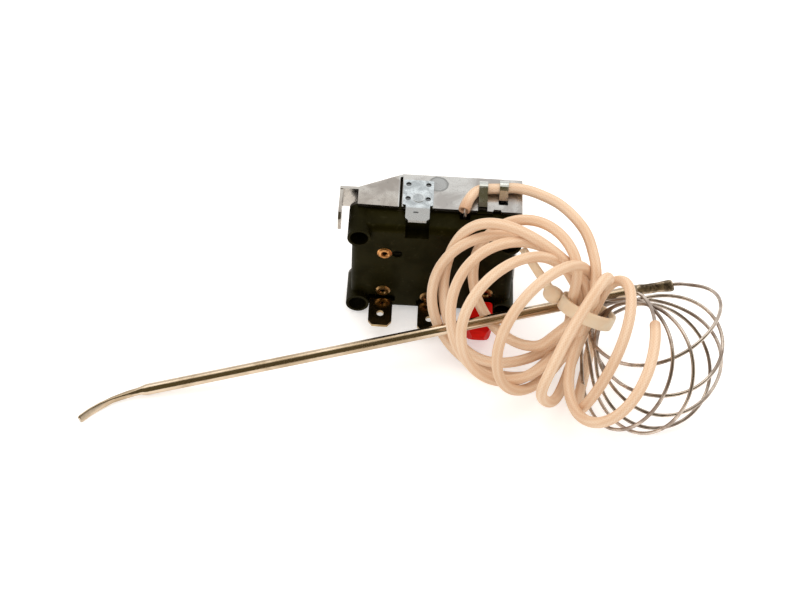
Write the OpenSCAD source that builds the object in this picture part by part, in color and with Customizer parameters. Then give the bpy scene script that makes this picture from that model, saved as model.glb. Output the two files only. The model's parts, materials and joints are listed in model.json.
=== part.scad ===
// Flue gas thermostat: a capillary bulb works a snap switch through a small diaphragm capsule.
// x runs left to right, y from the terminals to the spindle, z up from the surface it stands on.

/* [Frame] */
// thickness of the frame's sheet steel
sheet_t = 0.9; // [0.7:0.05:1.1]
// width of the top and bottom flanges
flange_w = 31.6; // [30:0.2:34]
// depth of the flanges, from the front plate's face back over the moulding
flange_d = 12; // [11.2:0.2:13]
// room between the moulding's cover and the front plate
mech_room = 8.9; // [8.9:0.1:11]
// width of the relief slit between the top flange and the wing
relief_w = 0.75; // [0.5:0.05:1.2]
// length of the wing beyond the relief slit
wing_w = 10.8; // [9:0.2:14]
// how far the wing's front wall slopes back
wing_slope = 5.6; // [3:0.2:7]
// height of the wing's wall and of the strip at its end
wing_wall_h = 6.7; // [6.5:0.1:8]
// length of the strip at the wing's end
strip_w = 4.1; // [3:0.1:6]
// length of the wing's earth tab
wing_tab_l = 9.9; // [8:0.1:11]

/* [Hooks] */
// width of the two hooks that hold the sleeve
hook_w = 2.3; // [1.8:0.1:2.8]
// thickness of the hooks, thinned where they are drawn over
hook_t = 0.5; // [0.4:0.05:0.7]
// distance of the first hook from the moulding's middle
hook_a_x = 12.2; // [11.5:0.1:12.6]
// distance of the second hook from the moulding's middle
hook_b_x = 17.6; // [17:0.1:18.2]
// reach of the first hook's lower leg towards the near edge
hook_a_reach = 5.1; // [3.5:0.1:5.6]
// reach of the second hook's lower leg towards the near edge
hook_b_reach = 2.7; // [2.3:0.1:3.2]

/* [Moulding] */
// width of the switch moulding between its side faces
base_w = 43; // [42:0.2:46]
// height of the switch moulding
base_h = 31.2; // [29:0.1:35]
// depth of the switch moulding without its cover
base_d = 8.1; // [8:0.1:9]
// how far the corner posts stand out behind the rear face
post_stand = 1.6; // [1:0.1:2.4]
// how far the corner posts stand proud of the side faces
post_proud = 1.15; // [0.8:0.05:1.4]
// height of the ribs that seat the moulding on the flanges
rib_h = 0.35; // [0.2:0.05:0.6]
// radius of the corner posts
post_r = 3.1; // [3:0.05:3.3]
// radius of the holes through the corner posts
post_hole_r = 2.4; // [1.8:0.05:2.5]
// thickness of the moulding's rear wall
wall_t = 2; // [1.8:0.1:2.3]
// thickness of the moulding's cover
cover_t = 1; // [0.8:0.1:1.3]
// radius of the moulding's rear edges
edge_r = 1.8; // [1:0.1:2]

/* [Terminals] */
// width of the push-on tabs
tab_w = 6.3; // [6:0.1:6.5]
// thickness of the push-on tabs
tab_t = 0.8; // [0.7:0.05:0.9]
// reach of the tabs behind the posts' rear ends
tab_reach = 8.4; // [7.6:0.1:9]
// radius of the hole through each tab
tab_hole_r = 0.95; // [0.7:0.05:1.1]
// height of the left and right tabs above the moulding's foot
tab_side_h = 4.7; // [4.5:0.1:5]
// height of the middle tab above the moulding's foot
tab_mid_h = 3.4; // [3.3:0.1:3.8]
// radius of the eyelets' heads
rivet_head_r = 1.95; // [1.7:0.05:2.1]
// radius of the eyelets' shanks
rivet_r = 1.15; // [1:0.05:1.25]

/* [Switch] */
// radius of the push pin
pin_r = 1.25; // [1:0.05:1.4]
// thickness of the snap blade
blade_t = 0.3; // [0.2:0.05:0.35]
// width of the snap blade
blade_w = 6; // [5.4:0.1:6.4]
// distance of the contacts from the push pin
contact_x = 12; // [11.6:0.1:12.4]
// radius of the contacts
contact_r = 1.5; // [1.2:0.05:1.7]
// gap that the moving contact crosses
contact_gap = 1.1; // [1:0.05:1.2]

/* [Capsule and spindle] */
// radius of the diaphragm capsule
capsule_r = 10; // [8.6:0.1:10.5]
// radius of the adjusting spindle
spindle_r = 3; // [2.6:0.1:3.2]
// reach of the spindle beyond the front plate
spindle_reach = 10.5; // [10:0.1:13]
// outer radius of the threaded bush
bush_r = 5; // [4.5:0.1:6]
// reach of the threaded bush beyond the front plate
bush_reach = 8; // [6:0.1:8.2]

/* [Sensor and sleeve] */
// diameter of the braided sleeve on the capillary
sleeve_d = 3; // [2.6:0.1:3.2]
// diameter of the capillary
wire_d = 1; // [0.8:0.05:1.1]
// diameter of the sensor bulb
bulb_d = 3; // [2.6:0.1:3.4]
// thickness of the cable tie's strap
tie_t = 1.2; // [1:0.1:1.5]
// width of the cable tie's strap
tie_w = 3.5; // [3:0.1:4]

/* [Hidden] */
$fn = 48;
cut = 1;
sleeve_r = sleeve_d / 2;
wire_r = wire_d / 2;
bulb_r = bulb_d / 2;

// clearances between pieces that fit each other
slip = 0.05;
fit = 0.1;
touch_gap = 0.1;

// heights: the posts stand between the two flanges
foot_z = sheet_t;
flange_z = sheet_t + base_h + 2 * rib_h;
frame_h = flange_z + sheet_t;
mid_z = frame_h / 2;
post_x = base_w / 2 + post_proud - post_r;
post_z = base_h / 2 + rib_h - post_r;

// depths, from the posts' rear ends to the spindle's tip
y_back = post_stand;
y_cavity = y_back + wall_t;
y_cover = y_back + base_d;
y_front = y_cover + cover_t;
y_plate = y_front + mech_room;
y_face = y_plate + sheet_t;
y_near = y_face - flange_d;
y_tip = y_face + spindle_reach;

// the frame's left and right sides
frame_right = post_x + post_r;
frame_left = frame_right - flange_w;
wing_right = frame_left - relief_w;
wing_left = wing_right - wing_w;
wing_wall_y = y_plate - wing_slope;
strip_left = wing_left - strip_w;
side_wall_gap = 0.4;

// the place of everything: the middle of the housing's footprint
cap_nose = 2.4;
cap_tip = -tab_reach - 4 * fit - cap_nose;
place = [-(strip_left - tab_t + frame_right) / 2, -(cap_tip + y_tip) / 2, 0];

// the moulding's inside
post_wall = 0.45;
cavity_x = post_x - post_r - post_wall;
cavity_z0 = 3;
cavity_z1 = frame_h - 6.1;
belly_x = cavity_x + 2.5;
belly_z0 = foot_z + 2 * post_r + 1.1;
belly_z1 = frame_h - belly_z0;
rib_w = 30;
rib_d = 1.4;
neck_w = 5.5;
hole_from_tip = 4.1;
root_w = 7.4;
root_h = 2.2;
root_d = 1.1;
tab_side_x = cavity_x - neck_w / 2 - slip;
pocket_w = 6.2;
pocket_x = -4.6;
pocket_d = 3.4;
pocket_h = 3.3;
groove_x = 7.7;
groove_r = 1.4;
groove_h = 1.6;
groove_y = 6.2;

// the earth plate on the top flange
earth_w = 8;
earth_d = 9.2;
earth_x = frame_left + 0.2 + earth_w / 2;
earth_reach = 5.5;
dimple_r = 0.6;
dimple_h = 0.3;
boss_r = 1.6;

// the eyelets: x, z and the depth of metal under each head
calib_z = mid_z + 5.95;
left_rivet_x = 0.4 - tab_side_x;
rivets = [
    [left_rivet_x, calib_z, tab_t],
    [left_rivet_x, tab_side_h + 3.3, 2 * tab_t],
    [-0.85, tab_mid_h + 2.8, tab_t],
    [tab_side_x + 1.6, tab_side_h + 4.3, tab_t]];
rivet_head_t = 0.35;
rivet_clinch_r = 1.6;
rivet_clinch_t = 0.3;
rivet_bore_r = 0.65;

// the switch, from the make contact's strip to the break contact's plate
button_t = 0.45;
seat_t = 0.5;
y_strip = y_cavity + tab_t;
y_blade = y_strip + seat_t + contact_gap + button_t;
y_blade_front = y_blade + blade_t;
y_break_seat = y_blade_front + button_t + slip;
y_break = y_break_seat + seat_t;
y_pin = y_blade_front + touch_gap;
calib_r = 1.25;
rivet_gap = 0.15;
calib_x = left_rivet_x + rivet_head_r + rivet_gap + calib_r;
pivot_x = calib_x + calib_r + 0.6;
carrier_t = tab_t;
carrier_left = 8 * slip - cavity_x;
carrier_w = pivot_x - carrier_left;
carrier_top = calib_z + 2.2;
carrier_foot = tab_side_h + 6.3;
common_w = carrier_w + 8 * slip;
guide_r = 2.4;
guide_l = 0.9;
slot_l = 12;
slot_h = 0.7;
slot_z = 1.6;
shelf_z = tab_mid_h + 4.8;
arm_z = shelf_z + 3.3;
arm_x0 = -1;
arm_x1 = contact_x + 3;
upright_x0 = contact_x - 3;
upright_z1 = mid_z + 2.75;
make_z1 = mid_z + 3.15;

// the capsule, the carrier nut and the spindle's inner end
capsule_shift = 0.75 * 270 / 360;
y_capsule = y_front + 0.55;
pin_l = y_capsule - touch_gap - y_pin;
shell_t = 0.8;
rear_l = 1.65;
front_l = 1.1;
y_split = y_capsule + rear_l;
y_nut = y_split + front_l;
nut_r = 3.5;
nut_l = 2.4;
screw_r = 2;
screw_gap = 0.15;
y_screw = y_nut + 0.4 + capsule_shift + screw_gap;
collar_r = 4.2;
collar_t = 1.2;
shoulder_r = bush_r + 0.5;
bush_flange_r = shoulder_r + 1;
bush_flange_t = 1;
undercut = 0.4;
y_bush = y_plate - bush_flange_t;
y_collar = y_bush - slip * 4 - collar_t;
clip_t = 0.6;
clip_r = 4.6;
groove_depth = 0.5;
y_clip = y_face + bush_reach + slip * 4;
stub_x = 5;
stub_z = 5.6;
stub_r = 1;
stub_l = 1.5;

// the capillary inside the frame, from the capsule to the sleeve; its heights hang from the top flange
capillary_route = [
    [stub_x, y_nut + 0.75, mid_z + stub_z], [5, 16.6, mid_z + stub_z], [5.1, 17.4, mid_z + 6.3],
    [5.4, 17.6, mid_z + 8.2], [6, 17.2, flange_z - 4.3], [6.6, 16.2, flange_z - 2.2], [7.1, 14.4, flange_z - 1.2],
    [7.5, 12, flange_z - 1.1], [groove_x, 9.4, flange_z - 1.1], [groove_x, 7.6, flange_z - 0.9],
    [groove_x, 6.9, flange_z - 0.2], [groove_x, 6.8, flange_z + 0.7], [groove_x, 7, flange_z + 1.5],
    [groove_x, 7.6, flange_z + 2.3]];

// the sleeve from the flange's near edge through the hooks and round to the cable tie
sleeve_z = frame_h + sleeve_r + 0.02;
hook_a_y = 15;
hook_b_y = 15.6;
sleeve_route = [
    [groove_x, 7.6, flange_z + 2.3], [8, 9.7, sleeve_z], [8.8, 12.2, sleeve_z], [10.4, 14.3, sleeve_z],
    [hook_a_x, hook_a_y, sleeve_z], [14.9, 15.3, sleeve_z], [hook_b_x, hook_b_y, sleeve_z], [20, 16, sleeve_z],
    [22.5, 15.7, 35.3], [24.8, 14.7, 35.7], [28.4, 12.5, 36.2], [32.3, 9.3, 36.7], [36.1, 4.4, 37],
    [38.8, -0.6, 36.8], [40.4, -5.6, 35.6], [41.5, -9.8, 33.2], [41.6, -12.6, 29.6], [40.8, -14.4, 25]];

// one row for each turn that bounds a coil: centre, azimuth and elevation of its axis, radius
sleeve_turns = [
    [25.6, -10.7, 26.7, -121, 18, 17.5], [20.1, -12.5, 23.8, -116, 24, 19.4], [19.5, -12.5, 20.8, -104, 23, 19.7],
    [22.3, -20.1, 24.6, -55, 17, 17.3], [35.9, -30.4, 27.7, -19, -16, 18.8], [45.5, -31.8, 25.2, 6, -31, 17.2]];
capillary_turns = [
    [50, -29.5, 19.8, 19, -31, 16.3], [53.9, -28.7, 18.3, 35, -27, 16.5], [58.4, -22.3, 11.3, 120, -57, 16],
    [58.1, -17.2, 22.5, -33, -62, 16.7]];

// the cable tie: the loop's middle and axis, the head and the end of the tail
tie_at = [40.1, -14.1, 22.2];
tie_axis = [0.35, 0.5, 0.8];
tie_inner_r = 6.4;
tie_head = [31.2, -10.4, 24.2];
tie_tail = [22.6, -4.6, 34.2];
tail_strap_w = 2.5;
tail_strap_t = 1.1;
head_size = [5, 4.4, 4.6];

// the bulb lies with its tail on the surface and its other end in the coil
bulb_a = [-74, -32, bulb_r];
bulb_b = [54, -2.6, 18.5];
bulb_end = [63.4, -1, 19.8];
tail_points = [[-77, -33, 1.4], [-81.8, -35.6, 1.1], [-85.4, -38.8, 0.8], [-88.8, -43, 0.7]];
tail_w = 2.6;
tail_t = 0.9;

// a piece drawn in x and z that stands from y0 to y0 + t
module upright(y0, t) {
    translate([0, y0 + t, 0])
        rotate([90, 0, 0])
            linear_extrude(t)
                children();
}

// a piece drawn in x and y that lies from z0 to z0 + t
module level(z0, t) {
    translate([0, 0, z0])
        linear_extrude(t)
            children();
}

// a piece drawn in y and z that stands from x0 to x0 + t
module sideways(x0, t) {
    translate([x0, 0, 0])
        rotate([90, 0, 90])
            linear_extrude(t)
                children();
}

// a round bar along y
module bar(x, z, y0, l, r) {
    translate([x, y0 + l, z])
        rotate([90, 0, 0])
            cylinder(h = l, r = r);
}

// a turned piece whose profile gives radius and depth along y
module turned(x, z, y0, points) {
    translate([x, y0, z])
        rotate([-90, 0, 0])
            rotate_extrude()
                polygon(points);
}

// a rectangle with round corners about the middle
module round_rect(w, h, r) {
    square([w - 2 * r, h], center = true);
    square([w, h - 2 * r], center = true);
    for (sx = [-1, 1], sy = [-1, 1])
        translate([sx * (w / 2 - r), sy * (h / 2 - r)])
            circle(r);
}

module at_posts() {
    for (sx = [-1, 1], sz = [-1, 1])
        translate([sx * post_x, 0, mid_z + sz * post_z])
            children();
}

module placed() {
    translate(place)
        children();
}

// sweeping a round section along a route: directions, sides and rings
function unit(v) = v / norm(v);
function heading(p, i) = unit(p[min(i + 1, len(p) - 1)] - p[max(i - 1, 0)]);
function flat_to(s, t) = unit(s - (s * t) * t);
function sides(p, i, s) = i == len(p) ? [] : let (n = flat_to(s, heading(p, i))) concat([n], sides(p, i + 1, n));
function ring(c, t, s, r, n) = [for (k = [0:n - 1]) c + r * (cos(360 * k / n) * s + sin(360 * k / n) * cross(t, s))];
function bands(m, n) = [for (i = [0:m - 2], k = [0:n - 1])
    [i * n + k, i * n + (k + 1) % n, (i + 1) * n + (k + 1) % n, (i + 1) * n + k]];

module swept(p, r, first_side) {
    n = 8;
    s = sides(p, 0, first_side);
    points = [for (i = [0:len(p) - 1]) each ring(p[i], heading(p, i), s[i], r, n)];
    ends = [[for (k = [0:n - 1]) n - 1 - k], [for (k = [0:n - 1]) (len(p) - 1) * n + k]];
    polyhedron(points, concat(bands(len(p), n), ends), convexity = 6);
}

// points the z axis along the line from a to b
module along(a, b) {
    d = b - a;
    translate(a)
        rotate([0, acos(d.z / norm(d)), atan2(d.y, d.x)])
            children();
}

// the flat disc that one turn of a cord of diameter d fills
module turn_disc(turn, d) {
    translate([turn[0], turn[1], turn[2]])
        rotate([0, 90 - turn[4], turn[3]])
            cylinder(h = d, r = turn[5] + d / 2, center = true, $fn = 32);
}

// the block with round rear edges, cut from its three outlines
module moulding_block() {
    intersection() {
        upright(y_back, base_d)
            translate([0, mid_z])
                round_rect(base_w, base_h, edge_r);
        level(0, frame_h)
            union() {
                translate([-base_w / 2, y_back + edge_r])
                    square([base_w, base_d - edge_r]);
                translate([edge_r - base_w / 2, y_back])
                    square([base_w - 2 * edge_r, base_d]);
                for (sx = [-1, 1])
                    translate([sx * (base_w / 2 - edge_r), y_back + edge_r])
                        circle(edge_r);
            }
        sideways(-base_w / 2, base_w)
            union() {
                translate([y_back + edge_r, mid_z - base_h / 2])
                    square([base_d - edge_r, base_h]);
                translate([y_back, mid_z - base_h / 2 + edge_r])
                    square([base_d, base_h - 2 * edge_r]);
                for (sz = [-1, 1])
                    translate([y_back + edge_r, mid_z + sz * (base_h / 2 - edge_r)])
                        circle(edge_r);
            }
    }
}

module tab_outline(x, y_end) {
    chamfer = 1.1;
    y_shoulder = y_back + root_d - slip;
    difference() {
        union() {
            translate([x, 0])
                polygon([
                    [-tab_w / 2, y_shoulder], [-tab_w / 2, chamfer * 1.4 - tab_reach],
                    [chamfer - tab_w / 2, -tab_reach], [tab_w / 2 - chamfer, -tab_reach],
                    [tab_w / 2, chamfer * 1.4 - tab_reach], [tab_w / 2, y_shoulder]]);
            translate([x - neck_w / 2, y_shoulder - slip])
                square([neck_w, y_end - y_shoulder + slip]);
        }
        translate([x, hole_from_tip - tab_reach])
            circle(tab_hole_r);
    }
}

module tab_slot(x, z0) {
    translate([x - neck_w / 2 - fit, y_back - cut, z0 - fit])
        cube([neck_w + 2 * fit, wall_t + 2 * cut, tab_t + 2 * fit]);
    translate([x - root_w / 2, y_back - cut, z0 - (root_h - tab_t) / 2])
        cube([root_w, root_d + cut, root_h]);
}

module capillary_groove(y0, y1) {
    translate([groove_x - groove_r, y0, flange_z - groove_h - groove_r / 3])
        cube([2 * groove_r, y1 - y0, groove_h + groove_r]);
}

module switch_base() {
    color([0.13, 0.13, 0.11])
        difference() {
            union() {
                moulding_block();
                at_posts()
                    bar(0, 0, 0, y_cover, post_r);
                translate([-rib_w / 2, y_cover - rib_d, foot_z])
                    cube([rib_w, rib_d, flange_z - foot_z]);
            }
            at_posts()
                bar(0, 0, -cut, y_cover + 2 * cut, post_hole_r);
            translate([-cavity_x, y_cavity, cavity_z0])
                cube([2 * cavity_x, base_d, cavity_z1 - cavity_z0]);
            translate([-belly_x, y_cavity, belly_z0])
                cube([2 * belly_x, base_d, belly_z1 - belly_z0]);
            for (r = rivets)
                bar(r[0], r[1], y_back - cut, wall_t + 2 * cut, rivet_r + slip);
            bar(calib_x, calib_z, y_back - cut, wall_t + 2 * cut, calib_r + fit);
            for (sx = [-1, 1])
                tab_slot(sx * tab_side_x, tab_side_h);
            tab_slot(0, tab_mid_h);
            translate([pocket_x - pocket_w / 2, y_back - cut, mid_z + base_h / 2 - pocket_h])
                cube([pocket_w, pocket_d + cut, pocket_h + cut]);
            capillary_groove(groove_y, y_cover + cut);
        }
}

module base_cover() {
    color([0.2, 0.19, 0.16])
        difference() {
            union() {
                upright(y_cover, cover_t)
                    translate([0, mid_z])
                        round_rect(base_w, base_h, edge_r);
                at_posts()
                    bar(0, 0, y_cover, cover_t, post_r);
                bar(0, mid_z, y_cover - guide_l, guide_l + cover_t, guide_r);
            }
            at_posts()
                bar(0, 0, y_cover - cut, cover_t + 2 * cut, post_hole_r);
            bar(0, mid_z, y_cover - guide_l - cut, guide_l + cover_t + 2 * cut, pin_r + slip);
            capillary_groove(y_cover - cut, y_front + cut);
        }
}

// one hook's outline in y and z: a leg up behind the sleeve, over it and down to the near side
module hook_outline(y_mid, reach) {
    r_in = sleeve_r + slip;
    r_out = r_in + hook_t;
    foot = [-reach, frame_h - sleeve_z];
    lean = 360 + atan2(foot[1], foot[0]) - acos(r_in / norm(foot));
    tangent = [cos(lean), sin(lean)];
    steps = 10;
    outer = [for (k = [0:steps]) r_out * [cos(lean * k / steps), sin(lean * k / steps)]];
    inner = [for (k = [steps:-1:0]) r_in * [cos(lean * k / steps), sin(lean * k / steps)]];
    translate([y_mid, sleeve_z])
        polygon(concat(
            [[r_out, foot[1] - sheet_t]], outer,
            [foot + hook_t * tangent, foot],
            inner, [[r_in, foot[1] - sheet_t]]));
}

module flange_outline() {
    window = hook_w + 2 * fit;
    edge = y_near - cut;
    difference() {
        translate([frame_left, y_near])
            square([flange_w, flange_d]);
        translate([hook_a_x - window / 2, edge])
            square([window, hook_a_y + sleeve_r + slip - edge]);
        translate([hook_b_x - window / 2, hook_b_y - hook_b_reach * 1.7])
            square([window, hook_b_reach * 1.7 + sleeve_r + slip]);
        translate([(hook_a_x + hook_b_x) / 2 + hook_w / 2, y_near])
            polygon([[-1.5, -cut], [1.5, -cut], [0.9, 0.7], [-0.9, 0.7]]);
    }
}

module wing() {
    strip_z = frame_h - wing_wall_h;
    y_far = y_plate - wing_slope * relief_w / (relief_w + wing_w);
    level(flange_z, sheet_t)
        polygon([
            [wing_right, y_near - 0.1], [wing_right, y_far + sheet_t / 2],
            [wing_left, wing_wall_y + sheet_t / 2], [wing_left, y_near + 0.2]]);
    level(strip_z, wing_wall_h)
        polygon([
            [frame_left + cut, y_plate], [frame_left, y_plate], [wing_left, wing_wall_y],
            [strip_left - tab_t, wing_wall_y], [strip_left - tab_t, wing_wall_y + sheet_t],
            [wing_left, wing_wall_y + sheet_t],
            [frame_left, y_face], [frame_left + cut, y_face]]);
    sideways(strip_left - tab_t, tab_t)
        translate([0, strip_z + (wing_wall_h - tab_w) / 2])
            difference() {
                polygon([
                    [wing_wall_y + sheet_t, 0], [wing_wall_y + sheet_t, tab_w],
                    [wing_wall_y - wing_tab_l + 1.4, tab_w], [wing_wall_y - wing_tab_l, tab_w - 1.3],
                    [wing_wall_y - wing_tab_l, 1.3], [wing_wall_y - wing_tab_l + 1.4, 0]]);
                translate([wing_wall_y - wing_tab_l + hole_from_tip, tab_w / 2])
                    circle(tab_hole_r);
            }
}

module frame_bracket() {
    color([0.72, 0.74, 0.74])
        union() {
            upright(y_plate, sheet_t)
                difference() {
                    translate([frame_left, 0])
                        square([flange_w, frame_h]);
                    translate([0, mid_z])
                        circle(shoulder_r + slip);
                }
            level(flange_z, sheet_t)
                flange_outline();
            level(0, sheet_t)
                translate([frame_left, y_near])
                    square([flange_w, flange_d]);
            translate([frame_right - sheet_t, y_front + side_wall_gap, 0])
                cube([sheet_t, y_face - y_front - side_wall_gap, frame_h]);
            wing();
            sideways(hook_a_x - hook_w / 2, hook_w)
                hook_outline(hook_a_y, hook_a_reach);
            sideways(hook_b_x - hook_w / 2, hook_w)
                hook_outline(hook_b_y, hook_b_reach);
        }
}

module earth_tab_plate() {
    color([0.8, 0.82, 0.83])
        difference() {
            union() {
                level(frame_h, tab_t)
                    translate([earth_x, y_near + earth_d / 2])
                        round_rect(earth_w, earth_d, 0.5);
                level(frame_h, tab_t)
                    translate([earth_x, y_near])
                        polygon([
                            [-tab_w / 2, 1], [-tab_w / 2, 0.8 - earth_reach], [0.8 - tab_w / 2, -earth_reach],
                            [tab_w / 2 - 0.8, -earth_reach], [tab_w / 2, 0.8 - earth_reach], [tab_w / 2, 1]]);
                translate([earth_x, y_near + earth_d * 0.3, frame_h])
                    cylinder(h = tab_t + dimple_h / 2, r = boss_r);
            }
            for (sx = [-1, 1], fy = [0.27, 0.83])
                translate([earth_x + sx * earth_w * 0.33, y_near + earth_d * fy, frame_h + tab_t - dimple_h])
                    cylinder(h = dimple_h + cut, r = dimple_r);
        }
}

module mounting_bush() {
    chamfer = 0.6;
    l = y_face + bush_reach - y_bush;
    bore = spindle_r + slip;
    neck = y_face - y_bush;
    color([0.78, 0.68, 0.42])
        turned(0, mid_z, y_bush, [
            [bore, 0], [bush_flange_r, 0], [bush_flange_r, bush_flange_t], [shoulder_r, bush_flange_t],
            [shoulder_r, neck], [bush_r - undercut, neck], [bush_r - undercut, neck + undercut],
            [bush_r, neck + undercut], [bush_r, l - chamfer], [bush_r - chamfer, l], [bore, l]]);
}

module adjuster_spindle() {
    l = y_tip - y_collar;
    g = y_clip - y_collar;
    color([0.7, 0.7, 0.68])
        difference() {
            union() {
                bar(0, mid_z, y_screw, y_collar - y_screw, screw_r);
                turned(0, mid_z, y_collar, [
                    [0, 0], [collar_r, 0], [collar_r, collar_t], [spindle_r, collar_t], [spindle_r, g - slip],
                    [spindle_r - groove_depth, g - slip], [spindle_r - groove_depth, g + clip_t + slip],
                    [spindle_r, g + clip_t + slip], [spindle_r, l - 0.4], [spindle_r - 0.4, l], [0, l]]);
            }
            translate([-spindle_r - cut, y_tip - 1.2, mid_z - 0.5])
                cube([2 * spindle_r + 2 * cut, 1.2 + cut, 1]);
        }
}

module spindle_clip() {
    color([0.3, 0.3, 0.3])
        upright(y_clip, clip_t)
            translate([0, mid_z])
                difference() {
                    circle(clip_r);
                    circle(spindle_r - groove_depth + slip);
                    translate([slip * 10 - spindle_r + groove_depth, -clip_r - cut])
                        square([2 * (spindle_r - groove_depth) - slip * 20, clip_r + cut]);
                }
}

module carrier_nut() {
    bore = screw_r + slip;
    color([0.75, 0.62, 0.35])
        turned(0, mid_z, y_nut, [
            [0, 0], [nut_r, 0], [nut_r, nut_l - 0.3], [nut_r - 0.3, nut_l], [bore, nut_l], [bore, 0.4], [0, 0.4]]);
}

module diaphragm_front() {
    color([0.66, 0.68, 0.7])
        difference() {
            union() {
                turned(0, mid_z, y_split, [
                    [0, front_l - shell_t], [nut_r + 0.8, front_l - shell_t], [capsule_r * 0.62, 0.1],
                    [capsule_r * 0.9, 0], [capsule_r, 0], [capsule_r, 0.6], [capsule_r * 0.9, 0.7],
                    [capsule_r * 0.72, front_l * 0.9], [nut_r + 1.4, front_l], [0, front_l]]);
                bar(stub_x, mid_z + stub_z, y_split + 0.2, y_nut + stub_l - y_split - 0.2, stub_r);
            }
            bar(stub_x, mid_z + stub_z, y_nut, stub_l + cut, wire_r + slip);
        }
}

module diaphragm_rear() {
    color([0.6, 0.62, 0.64])
        turned(0, mid_z, y_capsule, [
            [0, 0], [2.6, 0], [3, 0.4], [3, rear_l - shell_t - 0.2], [capsule_r * 0.7, rear_l - shell_t],
            [capsule_r * 0.9, rear_l - 0.6], [capsule_r, rear_l - 0.6], [capsule_r, rear_l], [0, rear_l]]);
}

module push_pin() {
    tip = 0.3;
    color([0.93, 0.92, 0.88])
        turned(0, mid_z, y_pin, [
            [0, 0], [pin_r - tip, 0], [pin_r, tip], [pin_r, pin_l - tip], [pin_r - tip, pin_l], [0, pin_l]]);
}

module snap_blade() {
    blade_end = contact_x + contact_r + 0.3;
    blade_start = carrier_left + 1.6;
    color([0.79, 0.56, 0.32])
        upright(y_blade, blade_t)
            translate([0, mid_z])
                difference() {
                    translate([blade_start, -blade_w / 2])
                        square([blade_end - blade_start, blade_w]);
                    for (sz = [-1, 1])
                        translate([-slot_l / 2, sz * (slot_z + slot_h / 2) - slot_h / 2])
                            square([slot_l + 2, slot_h]);
                    translate([contact_x, 0])
                        circle(contact_r * 0.4 + slip);
                }
}

module moving_contact() {
    color([0.85, 0.85, 0.83])
        union() {
            bar(contact_x, mid_z, y_blade - button_t, button_t, contact_r);
            bar(contact_x, mid_z, y_blade - slip, blade_t + 2 * slip, contact_r * 0.4);
            bar(contact_x, mid_z, y_blade_front, button_t, contact_r);
        }
}

module blade_carrier() {
    foot_w = carrier_w - 0.6;
    color([0.7, 0.66, 0.6])
        difference() {
            union() {
                translate([carrier_left, y_strip, tab_side_h + tab_t])
                    cube([foot_w, carrier_t, carrier_foot - tab_side_h - tab_t]);
                translate([carrier_left, y_strip, carrier_foot])
                    cube([foot_w, y_blade - y_strip, carrier_t]);
                translate([carrier_left, y_blade - carrier_t, carrier_foot])
                    cube([carrier_w, carrier_t, carrier_top - carrier_foot]);
            }
            bar(rivets[1][0], rivets[1][1], y_strip - cut, carrier_t + 2 * cut, rivet_r + slip);
        }
}

module fixed_contact(y0) {
    bar(contact_x, mid_z, y0, seat_t, contact_r + 0.1);
}

module make_contact() {
    color([0.86, 0.86, 0.84])
        fixed_contact(y_strip);
}

module break_contact() {
    color([0.86, 0.86, 0.84])
        fixed_contact(y_break_seat);
}

module terminal_common() {
    color([0.74, 0.72, 0.66])
        difference() {
            union() {
                level(tab_side_h, tab_t)
                    tab_outline(-tab_side_x, y_strip);
                upright(y_cavity, tab_t)
                    translate([carrier_left - 4 * slip, tab_side_h])
                        square([common_w, carrier_top - tab_side_h]);
            }
            for (k = [0:1])
                bar(rivets[k][0], rivets[k][1], y_cavity - cut, tab_t + 2 * cut, rivet_r + slip);
            bar(calib_x, calib_z, y_cavity - cut, tab_t + 2 * cut, calib_r + slip / 2);
        }
}

module terminal_break() {
    r = rivets[2];
    color([0.74, 0.72, 0.66])
        difference() {
            union() {
                level(tab_mid_h, tab_t)
                    tab_outline(0, y_strip);
                upright(y_cavity, tab_t)
                    translate([arm_x0 - 3, tab_mid_h])
                        square([arm_x0 + 7, shelf_z + tab_t - tab_mid_h]);
                translate([arm_x0, y_cavity, shelf_z])
                    cube([neck_w / 2 - arm_x0, y_break + tab_t - y_cavity, tab_t]);
                upright(y_break, tab_t)
                    polygon([
                        [arm_x0, shelf_z], [arm_x1, shelf_z], [arm_x1, upright_z1], [upright_x0, upright_z1],
                        [upright_x0, arm_z], [arm_x0, arm_z]]);
            }
            bar(r[0], r[1], y_cavity - cut, tab_t + 2 * cut, rivet_r + slip);
        }
}

module terminal_make() {
    r = rivets[3];
    color([0.74, 0.72, 0.66])
        difference() {
            union() {
                level(tab_side_h, tab_t)
                    tab_outline(tab_side_x, y_strip);
                upright(y_cavity, tab_t)
                    polygon([
                        [tab_side_x - neck_w / 2, tab_side_h], [tab_side_x + neck_w / 2, tab_side_h],
                        [tab_side_x + neck_w / 2, belly_z0 + fit], [r[0] + 1.8 * rivet_r, belly_z0 + 1.4],
                        [r[0] + 1.8 * rivet_r, r[1] + 3], [contact_x + contact_r + 1, r[1] + 4.4],
                        [contact_x + contact_r + 1, make_z1], [contact_x - contact_r - 0.4, make_z1],
                        [contact_x - contact_r - 0.4, r[1]]]);
            }
            bar(r[0], r[1], y_cavity - cut, tab_t + 2 * cut, rivet_r + slip);
        }
}

// hollow eyelets: a head on the moulding's rear face, a tube, and a clinched edge on the metal inside
module eyelet_rivets() {
    color([0.78, 0.45, 0.25])
        for (r = rivets) {
            l = wall_t + r[2];
            h = rivet_head_t;
            turned(r[0], r[1], y_back - h, [
                [rivet_bore_r, h], [rivet_bore_r + 0.25, 0], [rivet_head_r - 0.45, 0], [rivet_head_r, h],
                [rivet_r, h], [rivet_r, h + l], [rivet_clinch_r, h + l], [rivet_clinch_r - 0.2, h + l + rivet_clinch_t],
                [rivet_bore_r, h + l + rivet_clinch_t]]);
        }
}

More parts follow.
